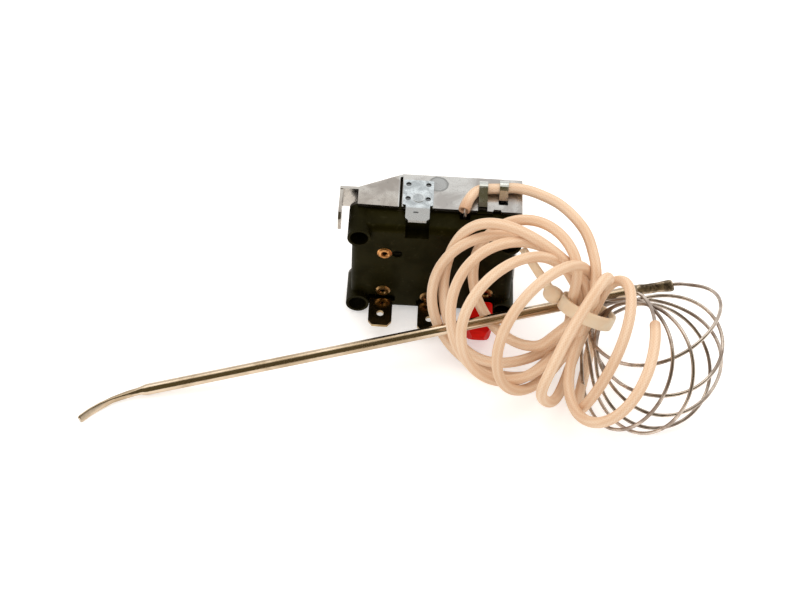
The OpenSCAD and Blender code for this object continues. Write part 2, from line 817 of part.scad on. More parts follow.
module calibration_screw() {
    l = y_blade - carrier_t - slip - y_back - calib_r / 2;
    color([0.45, 0.42, 0.38])
        difference() {
            bar(calib_x, calib_z, y_back + calib_r / 2, l, calib_r);
            translate([calib_x - calib_r - cut, y_back, calib_z - 0.25])
                cube([2 * calib_r + 2 * cut, calib_r / 2 + 0.8, 0.5]);
        }
}

// the soft cap on the right tab, cut from its plan and its side outline
module tab_cap() {
    w = tab_w + 1.1;
    h = tab_t + 4.2;
    z = tab_side_h + tab_t / 2;
    y_open = -fit;
    nose = 4.6;
    color([0.85, 0.05, 0.05])
        difference() {
            intersection() {
                level(z - h / 2, h)
                    translate([tab_side_x, 0])
                        polygon([
                            [-w / 2, y_open], [-w / 2, cap_tip + nose], [-w * 0.4, cap_tip + nose * 0.45],
                            [-w * 0.22, cap_tip + 0.3], [0, cap_tip], [w * 0.22, cap_tip + 0.3],
                            [w * 0.4, cap_tip + nose * 0.45], [w / 2, cap_tip + nose], [w / 2, y_open]]);
                sideways(tab_side_x - w / 2, w)
                    translate([0, z])
                        polygon([
                            [y_open, h / 2], [cap_tip + nose, h / 2], [cap_tip + 1.4, h * 0.36], [cap_tip, 0.4],
                            [cap_tip, -0.4], [cap_tip + 1.4, -h * 0.36], [cap_tip + nose, -h / 2], [y_open, -h / 2]]);
                upright(cap_tip, y_open - cap_tip)
                    translate([tab_side_x, z])
                        round_rect(w, h, 1.3);
            }
            translate([tab_side_x - tab_w / 2 - fit, -tab_reach - 2 * fit, z - tab_t / 2 - fit])
                cube([tab_w + 2 * fit, tab_reach + y_open + 3 * fit, tab_t + 2 * fit]);
        }
}

module inner_capillary() {
    color([0.5, 0.45, 0.4])
        swept(capillary_route, wire_r, [1, 0, 0]);
}

module sleeve_exit() {
    color([0.93, 0.85, 0.74])
        swept(sleeve_route, sleeve_r, [1, 0, 0]);
}

module sleeve_coil() {
    color([0.93, 0.85, 0.74])
        hull()
            for (t = sleeve_turns)
                turn_disc(t, sleeve_d);
}

module capillary_coil() {
    color([0.55, 0.5, 0.45])
        hull()
            for (t = capillary_turns)
                turn_disc(t, wire_d);
}

// a drawn tube with tapered ends, a neck and a flat tail on the left and a flat crimp on the right
module sensor_bulb() {
    l = norm(bulb_b - bulb_a);
    taper = 1.2;
    neck_r = bulb_r * 0.6;
    color([0.7, 0.68, 0.64])
        union() {
            along(bulb_a, bulb_b)
                rotate_extrude()
                    polygon([
                        [0, -taper], [neck_r * 1.2, -taper], [bulb_r, 0], [bulb_r, l],
                        [neck_r * 1.2, l + taper], [0, l + taper]]);
            hull() {
                along(bulb_a, bulb_b)
                    translate([0, 0, -taper * 0.8])
                        cylinder(h = taper / 4, r = neck_r, $fn = 16);
                translate(tail_points[0])
                    rotate([0, 0, 30])
                        cube([tail_t, tail_w * 0.7, tail_t], center = true);
            }
            for (k = [0:2])
                hull()
                    for (p = [tail_points[k], tail_points[k + 1]])
                        translate(p)
                            rotate([0, 0, 45])
                                cube([tail_t, tail_w, tail_t], center = true);
            hull() {
                along(bulb_a, bulb_b)
                    translate([0, 0, l + taper * 0.6])
                        cylinder(h = taper / 4, r = neck_r, $fn = 16);
                translate(bulb_end)
                    rotate([0, 0, 10])
                        cube([tail_t, tail_t, tail_w], center = true);
            }
        }
}

// one moulded strap: the loop round the bunch, the head and the cut tail
module cable_tie() {
    to_head = flat_to(tie_head - tie_at, unit(tie_axis));
    color([0.95, 0.9, 0.82])
        union() {
            along(tie_at, tie_at + tie_axis)
                translate([0, 0, -tie_w / 2])
                    difference() {
                        cylinder(h = tie_w, r = tie_inner_r + tie_t);
                        translate([0, 0, -cut])
                            cylinder(h = tie_w + 2 * cut, r = tie_inner_r);
                    }
            hull() {
                along(tie_head, tie_tail)
                    cube(head_size, center = true);
                translate(tie_at + (tie_inner_r + tie_t / 2) * to_head)
                    cube([tie_t / 2, tie_t / 2, tie_w / 2], center = true);
            }
            along(tie_head, tie_tail)
                translate([-tail_strap_w / 2, -tail_strap_t / 2, 0])
                    cube([tail_strap_w, tail_strap_t, norm(tie_tail - tie_head)]);
        }
}

placed() switch_base();
placed() base_cover();
placed() frame_bracket();
placed() earth_tab_plate();
placed() mounting_bush();
placed() adjuster_spindle();
placed() spindle_clip();
placed() carrier_nut();
placed() diaphragm_front();
placed() diaphragm_rear();
placed() push_pin();
placed() snap_blade();
placed() moving_contact();
placed() blade_carrier();
placed() make_contact();
placed() break_contact();
placed() terminal_common();
placed() terminal_break();
placed() terminal_make();
placed() eyelet_rivets();
placed() calibration_screw();
placed() tab_cap();
placed() inner_capillary();
placed() sleeve_exit();
placed() sleeve_coil();
placed() capillary_coil();
placed() sensor_bulb();
placed() cable_tie();
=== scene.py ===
import json
import math

import bmesh
import bpy
import numpy as np
from mathutils import Matrix, Vector


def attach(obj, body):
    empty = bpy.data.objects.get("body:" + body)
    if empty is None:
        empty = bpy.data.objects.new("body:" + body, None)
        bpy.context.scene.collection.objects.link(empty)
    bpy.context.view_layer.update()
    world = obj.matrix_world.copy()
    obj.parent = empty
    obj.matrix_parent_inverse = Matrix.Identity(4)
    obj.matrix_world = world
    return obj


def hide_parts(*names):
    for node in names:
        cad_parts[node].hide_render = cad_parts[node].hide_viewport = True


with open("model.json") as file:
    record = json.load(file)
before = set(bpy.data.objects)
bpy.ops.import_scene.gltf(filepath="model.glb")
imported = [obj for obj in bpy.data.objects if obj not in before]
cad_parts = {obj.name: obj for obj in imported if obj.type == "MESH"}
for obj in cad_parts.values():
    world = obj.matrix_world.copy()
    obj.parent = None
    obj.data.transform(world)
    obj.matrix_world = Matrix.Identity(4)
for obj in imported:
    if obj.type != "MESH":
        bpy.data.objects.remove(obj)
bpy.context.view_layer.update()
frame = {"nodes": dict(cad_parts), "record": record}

nodes = frame["nodes"]

# Lengths are millimetres of the part's source, which is drawn about the moulding's middle, unless a comment says
# otherwise. to_frame carries them into the row frame, in metres.
MM = 0.001
PLACE = np.array([1.375, -9.9, 0.0])

# the braid's crests reach the declared diameter; its drawn skin runs between crests and grooves
SLEEVE_R = 1.39
WIRE_D = 0.95
BULB_D = 3.0
# keeps a division by a length from failing at zero
TINY = 1e-9


def to_frame(points):
    """Points in the source's millimetres, in the row frame in metres."""
    return (np.asarray(points, float) + PLACE) * MM


def unit(v):
    """The vector at length 1."""
    v = np.asarray(v, float)
    return v / np.linalg.norm(v)


def eased(t):
    """A share from 0 to 1 that starts and ends slowly."""
    return t * t * (3 - 2 * t)


def step_between(x, low, high):
    """0 below low, 1 above high, eased between them."""
    return eased(np.clip((x - low) / (high - low), 0, 1))


# camera

CAMERA_TARGET = np.array([-8.0, 0.0, 4.9])
CAMERA_DISTANCE = 486.0
CAMERA_ELEVATION = math.radians(49)
CAMERA_ROLL = math.radians(3.2)
LENS, FILM_WIDTH = 81.0, 36.0
# in metres
CLIP_NEAR, CLIP_FAR = 0.01, 20
FORWARD = np.array([0, math.cos(CAMERA_ELEVATION), -math.sin(CAMERA_ELEVATION)])
EYE = CAMERA_TARGET - CAMERA_DISTANCE * FORWARD


def make_camera():
    """The camera looks along FORWARD and is turned a little about that line."""
    level = np.array([1.0, 0, 0])
    upright = np.cross(level, FORWARD)
    right = math.cos(CAMERA_ROLL) * level + math.sin(CAMERA_ROLL) * upright
    up = -math.sin(CAMERA_ROLL) * level + math.cos(CAMERA_ROLL) * upright
    data = bpy.data.cameras.new("camera")
    data.lens, data.sensor_width = LENS, FILM_WIDTH
    data.clip_start, data.clip_end = CLIP_NEAR, CLIP_FAR
    camera = bpy.data.objects.new("camera", data)
    bpy.context.scene.collection.objects.link(camera)
    place = Matrix.Identity(4)
    for row in range(3):
        place[row][0], place[row][1], place[row][2] = right[row], up[row], -FORWARD[row]
        place[row][3] = to_frame(EYE)[row]
    camera.matrix_world = place
    bpy.context.scene.camera = camera


make_camera()

# cord path

# the sleeve from the frame's near edge through its hooks and round to the tie
SLEEVE_ROUTE = [
    [7.3, 7.4, 34.7], [8, 9.7, 35.1], [9, 12, 35.22], [10.4, 14, 35.22], [12.2, 15, 35.22],
    [14.9, 15.3, 35.22], [17.6, 15.6, 35.22], [20, 16, 35.22], [22.5, 15.7, 35.3], [24.8, 14.7, 35.7],
    [28.4, 12.5, 36.2], [32.3, 9.3, 36.7], [36.1, 4.4, 37], [38.8, -0.6, 36.8], [40.4, -5.6, 35.6],
    [41.5, -9.8, 33.2], [41.6, -12.6, 29.6], [40.8, -14.4, 25]]
# the hooks hold the sleeve up to the first of these points of its route, and it is free from the second on
HELD_POINT, FREE_POINT = 8, 14

TIE = np.array([40.1, -14.1, 22.2])
TIE_AXIS = unit([0.35, 0.5, 0.8])
TIE_INNER_R = 6.6

# each turn of the coil: centre, azimuth and elevation of its axis, radius, how much it narrows at the tie and
# how far it bends out of its plane
TURNS = [
    [24.3, -8.8, 25.7, -133, 29, 16.4, 0, 1], [20.8, -10.5, 23.4, -106, 23, 19, 0.2, -3.5],
    [19.1, -11.6, 19.5, -108, 24, 19.8, -0.05, -0.5], [22.2, -17.2, 25, -62, 33, 17.8, 0.15, -2.5],
    [22.1, -21.4, 25.8, -54, 20, 17.1, -0.05, -0.5], [29.5, -21.1, 23.9, -41, 6, 18, 0.1, -1],
    [35.9, -28.4, 24.6, -24, -7, 18.5, -0.5, -1], [44.5, -21.3, 17.3, -8, -14, 17.6, -0.2, -1],
    [45.5, -32.2, 25.7, 6, -31, 17.1, -0.05, 0], [49.3, -26.8, 19.5, 24, -25, 17.2, 0.2, 0.5],
    [53.6, -29.3, 19.2, 36, -27, 16.5, 0.05, 0], [58.4, -21.1, 10.7, 124, -56, 16.3, 0.05, -1],
    [58.3, -22.7, 17.5, 137, -76, 16.9, 0.15, -1], [58.5, -23.5, 21.6, 20, -79, 15.7, 0.05, 0.5],
    [57.6, -18.4, 24.8, -34, -64, 16.7, 0, -1]]
# places where a turn leaves its circle: turn, angle, reach in degrees, and how far
NUDGES = [(6, 312, 13, [-0.2, -2.1, -2.0]), (6, 248, 26, [-1.6, 0, 0]), (7, 348, 14, [-1.3, 0.4, 0.4])]
STEPS_PER_TURN = 48
BLEND_ANGLE = math.radians(40)
# degrees round a turn, from the tie
FIRST_TURN_START = 38
LAST_TURN_END = 262
SLEEVE_END_ANGLE = 247
LAST_SLEEVE_TURN = 8

BULB_A = np.array([-74, -32, BULB_D / 2])
BULB_B = np.array([54, -2.6, 18.5])
BULB_END = np.array([63.4, -1, 19.8])
# the wire's last points: how far past the bulb's end, and how far aside
WIRE_TO_BULB = [(2.2, [0, -0.6, 0.3]), (0.2, [0, 0, 0]), (-2.5, [0, 0, 0])]

# steps for each span of the smooth lines, and the spans that two of them share where they are joined
ROUTE_STEPS, TURN_STEPS, FINE_STEPS = 6, 3, 2
SHARED_SPANS = 3
CORD_STEP = 2.2
# the wire's line starts so many points inside the sleeve
POINTS_IN_SLEEVE = 4
# distances along the cord from the tie: bunched up to the first and not beyond the second, and the same for how far
# it may move sideways
BUNCHED_REACH = 4, 20
SIDEWAYS_REACH = 8, 24
# the cord is held so far at the bulb and is free so much farther on
HELD_AT_BULB, EASE_AT_BULB = 4, 20
SETTLE_ROUNDS, QUICK_ROUNDS = 240, 60

# points so near to each other in their order along the cord aren't pushed apart
OWN_POINTS = 6
STRAND_GAP = 0.04
CLEARANCE = 0.05
# strands that are seen so near to each other count for which one lies in front
CROSSING_REACH = 3
FRONT_BLUR = 4
# the bare wire is counted as so much farther off than it is, so that it goes behind the sleeve
WIRE_FARTHER = 5
# decides for strands that never cross
NO_CROSSING = 1e-12
# the most that a point moves in a round, off the other strands, off the bulb and into the tie's loop, and the share
# of what it lacks
LARGEST_PUSH, LARGEST_BULB_PUSH, LARGEST_TIE_PUSH = 0.5, 1, 2
BULB_PUSH_SHARE, TIE_PUSH_SHARE, BOX_PUSH_SHARE = 0.6, 0.6, 0.7
# beyond this share of the bulb the wire enters it
BULB_ENTRY = 0.995
# how bunched a point is when the tie starts to hold it, and when it holds it fully
TIE_HOLD = 0.85, 0.97
SMOOTH_PASSES = 2
# each round gives back a little of the change
KEPT_CHANGE = 0.998
# what the cord lies on or against: the frame with the moulding, and the capped tab
HOUSING_BOX = (-30, -0.05, 0), (22.7, 30, 33.7)
CAP_BOX = (9.4, -11.3, 2.5), (17.0, 0, 7.7)


def turn_point(turn, angle):
    """The point of a turn at an angle that starts at the tie and goes down first."""
    centre = np.array(turn[:3], float)
    azimuth, elevation = math.radians(turn[3]), math.radians(turn[4])
    normal = np.array([math.cos(azimuth) * math.cos(elevation), math.sin(azimuth) * math.cos(elevation),
                       math.sin(elevation)])
    inward = TIE - centre
    inward = unit(inward - normal * (inward @ normal))
    side = np.cross(normal, inward)
    radius, narrowing, bend = turn[5:]
    across = math.sin(angle) * (1 - narrowing * math.cos(angle))
    return centre + radius * (math.cos(angle) * inward - across * side) + bend * math.cos(2 * angle) * normal


def coil_points():
    """Points along all turns, each turn blended into the next one near the tie, and the index of the sleeve's end."""
    full = 2 * math.pi
    last = len(TURNS) - 1
    points, sleeve_end_index = [], None
    for k, turn in enumerate(TURNS):
        for i in range(STEPS_PER_TURN):
            angle = i * math.radians(360 / STEPS_PER_TURN)
            if k == 0 and angle < math.radians(FIRST_TURN_START):
                continue
            if k == last and angle > math.radians(LAST_TURN_END):
                continue
            p = turn_point(turn, angle)
            if k > 0 and angle < BLEND_ANGLE:
                share = eased(0.5 + 0.5 * angle / BLEND_ANGLE)
                p = (1 - share) * turn_point(TURNS[k - 1], full + angle) + share * p
            if k < last and angle > full - BLEND_ANGLE:
                share = eased(0.5 * (angle - full + BLEND_ANGLE) / BLEND_ANGLE)
                p = (1 - share) * p + share * turn_point(TURNS[k + 1], angle - full)
            for at, middle, reach, shift in NUDGES:
                away = ((k - at) * 360 + math.degrees(angle) - middle) / reach
                p = p + math.exp(-away * away / 2) * np.array(shift)
            if sleeve_end_index is None and k == LAST_SLEEVE_TURN and angle > math.radians(SLEEVE_END_ANGLE):
                sleeve_end_index = len(points)
            points.append(p)
    return points, sleeve_end_index


def catmull_rom(points, per):
    """A smooth line through the points, with so many steps for each."""
    p = np.asarray(points, float)
    p = np.vstack([2 * p[0] - p[1], p, 2 * p[-1] - p[-2]])
    out = []
    for i in range(1, len(p) - 2):
        a, b, c, d = p[i - 1], p[i], p[i + 1], p[i + 2]
        for k in range(per):
            t = k / per
            out.append(0.5 * (2 * b + (c - a) * t + (2 * a - 5 * b + 4 * c - d) * t * t
                              + (3 * b - a - 3 * c + d) * t ** 3))
    out.append(p[-2])
    return np.array(out)


def arc_of(points):
    """The length of the line up to each of its points."""
    return np.concatenate([[0], np.cumsum(np.linalg.norm(np.diff(points, axis=0), axis=1))])


def resample(points, spacing):
    """The same line with points at an even spacing."""
    arc = arc_of(points)
    count = int(round(arc[-1] / spacing)) + 1
    at = np.linspace(0, arc[-1], count)
    return np.stack([np.interp(at, arc, points[:, k]) for k in range(3)], axis=1)


def nearest(line, point):
    """The index of the line's point nearest to a place."""
    return int(np.argmin(np.linalg.norm(line - point, axis=1)))


def smooth_rows(values, weights, passes):
    """Smooths each column along the cord; rows of weight 0 stay as they are."""
    for _ in range(passes):
        mean = values.copy()
        mean[1:-1] = 0.25 * values[:-2] + 0.5 * values[1:-1] + 0.25 * values[2:]
        values = values + weights[:, None] * (mean - values)
    return values


def blur_rows_and_columns(m, reach):
    """Mean of a square table over a window of 2 * reach + 1 rows and columns."""
    for axis in (0, 1):
        padded = np.concatenate([np.repeat(np.take(m, [0], axis), reach + 1, axis), m,
                                 np.repeat(np.take(m, [-1], axis), reach, axis)], axis)
        total = np.cumsum(padded, axis)
        count = m.shape[axis]
        m = (np.take(total, range(2 * reach + 1, 2 * reach + 1 + count), axis)
             - np.take(total, range(0, count), axis)) / (2 * reach + 1)
    return m


def raise_above(p, r, look, low, high, share):
    """Brings points inside a box towards the eye until they clear its top or its near face."""
    inside = np.all((p > np.array(low) - r[:, None]) & (p < np.array(high) + r[:, None]), axis=1)
    over_top = (high[2] + r - p[:, 2]) / -look[:, 2]
    past_front = (p[:, 1] - (low[1] - r)) / look[:, 1]
    step = np.where(inside, np.minimum(over_top, past_front), 0) * share
    return p - look * step[:, None]


def settle(home, r, free, bunched, sideways, behind_bulb, rounds):
    """Lays the strands beside each other instead of through each other.

    Away from the tie a strand gives way only towards or away from the eye, so it stays where it is seen."""
    look = home - EYE
    look /= np.linalg.norm(look, axis=1)[:, None]
    index = np.arange(len(home))
    apart = np.abs(index[:, None] - index[None]) > OWN_POINTS
    want = r[:, None] + r[None] + STRAND_GAP
    at_tie = bunched[:, None] * bunched[None]
    bulb_line = BULB_END - BULB_A

    def split(p):
        """The gap of each two points, its depth as seen, and the square of what is seen of it."""
        gap = p[:, None] - p[None]
        depth = np.einsum("ijk,ik->ij", gap, look)
        across2 = np.maximum((gap ** 2).sum(axis=2) - depth ** 2, 0)
        return gap, depth, across2

    def from_bulb(p):
        """The way from the bulb's middle line, its depth as seen, and the share along the bulb."""
        t = np.clip(((p - BULB_A) @ bulb_line) / (bulb_line @ bulb_line), 0, 1)
        off = p - (BULB_A + t[:, None] * bulb_line)
        return off, (off * look).sum(axis=1), t

    def off_strands(p):
        """The push off the other strands: along the look, and straight apart where the tie bunches them."""
        gap, depth, across2 = split(p)
        lack = np.sqrt(np.maximum(want ** 2 - across2, 0)) - order * depth
        lack = np.where(apart & (across2 < want ** 2) & (lack > 0), lack, 0) * (1 - at_tie)
        push = (0.5 * lack * order).sum(axis=1) / np.maximum((lack > 0).sum(axis=1), 1) ** 0.5
        move = look * np.clip(push, -LARGEST_PUSH, LARGEST_PUSH)[:, None]
        distance = np.sqrt(across2 + depth ** 2) + TINY
        lack = np.where(apart & (distance < want), want - distance, 0) * at_tie
        round_push = (gap / distance[:, :, None] * (0.5 * lack)[:, :, None]).sum(axis=1)
        length = np.linalg.norm(round_push, axis=1)
        return move + round_push * (np.minimum(length, LARGEST_PUSH) / np.maximum(length, TINY))[:, None]

    def off_bulb(p):
        """The push off the bulb, on the side where the strand is seen."""
        off, deep, t = from_bulb(p)
        clear = BULB_D / 2 + r + CLEARANCE
        across2 = np.maximum((off ** 2).sum(axis=1) - deep ** 2, 0)
        lack = np.sqrt(np.maximum(clear ** 2 - across2, 0)) - bulb_side * deep
        lack = np.where((across2 < clear ** 2) & (lack > 0) & (t < BULB_ENTRY), lack, 0)
        return look * (np.clip(BULB_PUSH_SHARE * lack, 0, LARGEST_BULB_PUSH) * bulb_side)[:, None]

    def past_tie(p):
        """How far the strands that pass the tie are outside its loop."""
        rel = p - TIE
        height = rel @ TIE_AXIS
        flat = rel - height[:, None] * TIE_AXIS
        d = np.linalg.norm(flat, axis=1) + TINY
        over = np.clip(d - (TIE_INNER_R - r - CLEARANCE), 0, LARGEST_TIE_PUSH) * step_between(bunched, *TIE_HOLD)
        return flat / d[:, None] * (TIE_PUSH_SHARE * over)[:, None]

    _, depth, across2 = split(home)
    near = np.exp(-across2 / CROSSING_REACH ** 2) * apart
    bare = r < SLEEVE_R
    farther = WIRE_FARTHER * (bare[:, None].astype(float) - bare[None])
    # 1 where the first strand of a pair lies behind the second, -1 where it lies in front
    order = np.sign(blur_rows_and_columns((depth + farther) * near, FRONT_BLUR) + NO_CROSSING)
    bulb_side = np.where(behind_bulb | bare, 1.0, np.sign(from_bulb(home)[1]))

    p = home.copy()
    for _ in range(rounds):
        move = off_strands(p) + off_bulb(p) - past_tie(p)
        p = p + move * free[:, None]
        for low, high in (HOUSING_BOX, CAP_BOX):
            p = raise_above(p, r, look, low, high, BOX_PUSH_SHARE * free)
        sunk = np.maximum(r + CLEARANCE - p[:, 2], 0)
        p = p + look * (sunk / look[:, 2])[:, None]
        # the change from the drawn line stays smooth, and goes sideways only near the tie
        change = smooth_rows(p - home, free, SMOOTH_PASSES)
        deep = (change * look).sum(axis=1)[:, None] * look
        p = home + (deep + (change - deep) * sideways[:, None]) * KEPT_CHANGE
    return p


def cord_line():
    """The whole capillary's line in the source's millimetres, and the index where the sleeve ends."""
    turns, sleeve_end_index = coil_points()
    head = catmull_rom(SLEEVE_ROUTE + turns[:SHARED_SPANS + 1], ROUTE_STEPS)[:-SHARED_SPANS * ROUTE_STEPS]
    coil = catmull_rom(turns, TURN_STEPS)
    shared = SHARED_SPANS * TURN_STEPS
    lead = unit(BULB_END - BULB_B)
    to_bulb = [BULB_END + lead * past + np.array(aside) for past, aside in WIRE_TO_BULB]
    tail = catmull_rom(np.vstack([coil[-shared::TURN_STEPS], to_bulb]), ROUTE_STEPS)
    line = resample(np.vstack([head, coil[:-shared], tail]), CORD_STEP)
    arc = arc_of(line)
    end = nearest(line, turns[sleeve_end_index])
    # where each turn passes the tie
    tie_points = [np.array(SLEEVE_ROUTE[-1], float)] + [
        0.5 * (turn_point(one, 0) + turn_point(other, 0)) for one, other in zip(TURNS, TURNS[1:])]
    passes = [arc[nearest(line, p)] for p in tie_points]
    bunched = np.max([1 - step_between(np.abs(arc - a), *BUNCHED_REACH) for a in passes], axis=0)
    sideways = np.max([1 - step_between(np.abs(arc - a), *SIDEWAYS_REACH) for a in passes], axis=0)
    behind_bulb = (arc < passes[1]) & (arc > passes[0])
    r = np.where(np.arange(len(line)) <= end, SLEEVE_R, WIRE_D / 2)
    route = arc_of(np.array(SLEEVE_ROUTE, float))
    free = np.clip((arc - route[HELD_POINT]) / (route[FREE_POINT] - route[HELD_POINT]), 0, 1)
    free = free * np.clip((arc[-1] - arc - HELD_AT_BULB) / EASE_AT_BULB, 0, 1)
    rounds = SETTLE_ROUNDS
    return settle(line, r, free, bunched, sideways, behind_bulb, rounds), end


line_mm, sleeve_end = cord_line()
fine = catmull_rom(line_mm, FINE_STEPS)
sleeve_end *= FINE_STEPS
sleeve_line = fine[:sleeve_end + 1]
wire_line = fine[sleeve_end - POINTS_IN_SLEEVE:]

# sleeve and wire

SLEEVE_SIDES, WIRE_SIDES = 20, 12
# depth of the bore that shows at the sleeve's two ends
BORE_AT_FRAME, BORE_AT_END = 1.2, 3.5
# how much wider the sleeve is at the frame and narrower at its end, and from where to where that fades
FLARE, FLARE_SPAN = 0.12, (1, 4.5)
DRAWN_IN, DRAWN_IN_SPAN = 0.02, (0, 3)
# rings of an open end from its rim inward: share of the radius, and depth
OPEN_END = [(0.93, -0.12), (0.62, -0.05), (0.55, 0.35)]
BORE_SHARE = 0.52
CLOSED_SHARE = 0.5
PINHOLE_SHARE = 0.02


def frames_along(p):
    """Tangents and sides that turn as little as they can along a line."""
    t = np.gradient(p, axis=0)
    t /= np.linalg.norm(t, axis=1)[:, None]
    s = np.zeros_like(p)
    first = np.array([0, 0, 1.0]) if abs(t[0][2]) < 0.9 else np.array([1.0, 0, 0])
    s[0] = unit(first - t[0] * (first @ t[0]))
    for i in range(1, len(p)):
        s[i] = unit(s[i - 1] - t[i] * (s[i - 1] @ t[i]))
    return t, s, np.cross(t, s)


def skin(name, vertices, along, sides):
    """A closed, smooth mesh over rings of equal count. Its map "along" gives the share round and the length."""
    faces, uvs = [], []
    for i, (v0, v1) in enumerate(zip(along, along[1:])):
        for k in range(sides):
            k2 = (k + 1) % sides
            faces.append((i * sides + k, i * sides + k2, (i + 1) * sides + k2, (i + 1) * sides + k))
            uvs.append(((k / sides, v0), ((k + 1) / sides, v0), ((k + 1) / sides, v1), (k / sides, v1)))
    faces.append(tuple(range(sides - 1, -1, -1)))
    uvs.append(tuple((0.5, 0) for _ in range(sides)))
    faces.append(tuple(range((len(along) - 1) * sides, len(along) * sides)))
    uvs.append(tuple((0.5, along[-1]) for _ in range(sides)))
    mesh = bpy.data.meshes.new(name)
    mesh.from_pydata([tuple(v) for v in vertices], [], faces)
    layer = mesh.uv_layers.new(name="along")
    layer.data.foreach_set("uv", np.array([c for face in uvs for c in face], np.float32).ravel())
    mesh.polygons.foreach_set("use_smooth", [True] * len(mesh.polygons))
    mesh.update()
    obj = bpy.data.objects.new(name, mesh)
    bpy.context.scene.collection.objects.link(obj)
    return obj


def tube(name, line, radius, sides, hollow_start=0.0, hollow_end=0.0):
    """A tube along a line. A hollow end shows a wall and goes in for that many mm."""
    p = to_frame(line)
    arc = arc_of(p)
    t, s, n = frames_along(p)
    radius = np.broadcast_to(radius, len(p)) * MM

    def end_rings(i, depth):
        inward = 1 if i == 0 else -1
        steps = [(CLOSED_SHARE, 0.0), (PINHOLE_SHARE, 0.0)]
        if depth > 0:
            steps = OPEN_END + [(BORE_SHARE, depth), (PINHOLE_SHARE, depth)]
        return [(p[i] + t[i] * inward * d * MM, s[i], n[i], radius[i] * share, arc[i]) for share, d in steps]

    rings = end_rings(0, hollow_start)[::-1]
    rings += [(p[i], s[i], n[i], radius[i], arc[i]) for i in range(len(p))]
    rings += end_rings(len(p) - 1, hollow_end)
    angle = 2 * math.pi * np.arange(sides) / sides
    vertices = np.vstack([c + r * (np.cos(angle)[:, None] * a + np.sin(angle)[:, None] * b)
                          for c, a, b, r, _ in rings])
    return skin(name, vertices, [ring[4] / MM for ring in rings], sides)


# the sleeve flares where it is cut by the frame and is drawn in a little at its far end
from_start = arc_of(sleeve_line)
to_end = from_start[-1] - from_start
flared = FLARE * (1 - step_between(from_start, *FLARE_SPAN))
drawn_in = DRAWN_IN * (1 - step_between(to_end, *DRAWN_IN_SPAN))
sleeve = tube("braided_sleeve", sleeve_line, SLEEVE_R * (1 + flared - drawn_in), SLEEVE_SIDES, BORE_AT_FRAME,
              BORE_AT_END)
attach(sleeve, "housing")
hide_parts("sleeve_exit", "sleeve_coil")
wire = tube("bare_capillary", wire_line, WIRE_D / 2, WIRE_SIDES)
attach(wire, "housing")
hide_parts("capillary_coil")

# bulb

# the flat blade at the bulb's tail and its twisted neck: place, half width and half thickness as seen, twist in
# degrees, squareness
TAIL_SECTIONS = [
    ([-88.35, -42.0, 0.85], 0.85, 0.3, -29, 4), ([-88.1, -41.6, 0.88], 0.98, 0.34, -28.5, 5),
    ([-86.1, -39.4, 0.95], 1.0, 0.34, -28.5, 5), ([-83.8, -37.4, 1.05], 0.95, 0.36, -28.5, 5),
    ([-82.4, -36.4, 1.15], 0.88, 0.45, -34, 4), ([-81.0, -35.4, 1.3], 0.84, 0.52, -42, 4),
    ([-79.0, -34.4, 1.45], 0.84, 0.62, -44, 4), ([-77.1, -33.5, 1.6], 0.88, 0.78, -40, 3.4),
    ([-75.1, -32.7, 1.75], 0.94, 0.98, -20, 2.6), ([-74.0, -32.25, 1.8], 1.08, 1.15, 0, 2.2),
    ([-73.1, -31.95, 1.78], 1.34, 1.36, 0, 2), ([-72.6, -31.75, 1.74], 1.47, 1.47, 0, 2)]
# the pinched end: share of its length, half width, half thickness, how far aside, squareness
CRIMP_SECTIONS = [
    (-0.03, 1.25, 1.25, 0, 2), (0.0, 1.4, 1.35, 0, 2), (0.1, 1.45, 1.3, 0, 2.4), (0.22, 1.3, 1.1, 0.05, 3),
    (0.4, 1.35, 0.95, 0.12, 3.2), (0.58, 1.3, 1.0, 0.1, 3), (0.78, 1.5, 0.95, 0.15, 3.2),
    (0.92, 1.6, 0.9, 0.2, 3.4), (0.98, 1.45, 0.8, 0.3, 3), (1.02, 0.9, 0.5, 0.55, 2.4)]
BULB_SIDES = 20
BULB_SPANS = 40
# the round tube starts so far from the tail's end of the bulb
TUBE_START = 2.0
ROUND = 2


def ring_of(centre, side, up, half_w, half_t, power, sides):
    """A section between a circle and a flat strip: power 2 is an ellipse, more is squarer."""
    out = []
    for k in range(sides):
        a = 2 * math.pi * k / sides
        c, s = math.cos(a), math.sin(a)
        x = math.copysign(abs(c) ** (2 / power), c) * half_w
        y = math.copysign(abs(s) ** (2 / power), s) * half_t
        out.append(centre + side * x + up * y)
    return out


def loft(name, sections, sides):
    """A closed skin through sections of equal count."""
    vertices = to_frame(np.vstack([ring_of(*s, sides) for s in sections]))
    obj = skin(name, vertices, arc_of(np.array([s[0] for s in sections])), sides)
    bm = bmesh.new()
    bm.from_mesh(obj.data)
    bmesh.ops.recalc_face_normals(bm, faces=bm.faces)
    bm.to_mesh(obj.data)
    bm.free()
    return obj


def facing(line):
    """Two directions across a line: one across the view, and one towards the eye."""
    across = unit(np.cross(line, -FORWARD))
    return across, np.cross(across, line)


def make_bulb_tube():
    line = unit(BULB_B - BULB_A)
    start = BULB_A + line * TUBE_START
    centres = [np.array(part[0]) for part in TAIL_SECTIONS] + [start]
    sections = []
    for i, (_, half_w, half_t, twist, power) in enumerate(TAIL_SECTIONS):
        a, b = facing(unit(centres[i + 1] - centres[max(i - 1, 0)]))
        c, s = math.cos(math.radians(twist)), math.sin(math.radians(twist))
        sections.append((centres[i], a * c + b * s, b * c - a * s, half_w, half_t, power))
    side, up = facing(line)
    length = np.linalg.norm(BULB_B - start)
    for k in range(BULB_SPANS + 1):
        sections.append((start + line * length * k / BULB_SPANS, side, up, BULB_D / 2, BULB_D / 2, ROUND))
    return loft("sensor_bulb_tube", sections, BULB_SIDES)


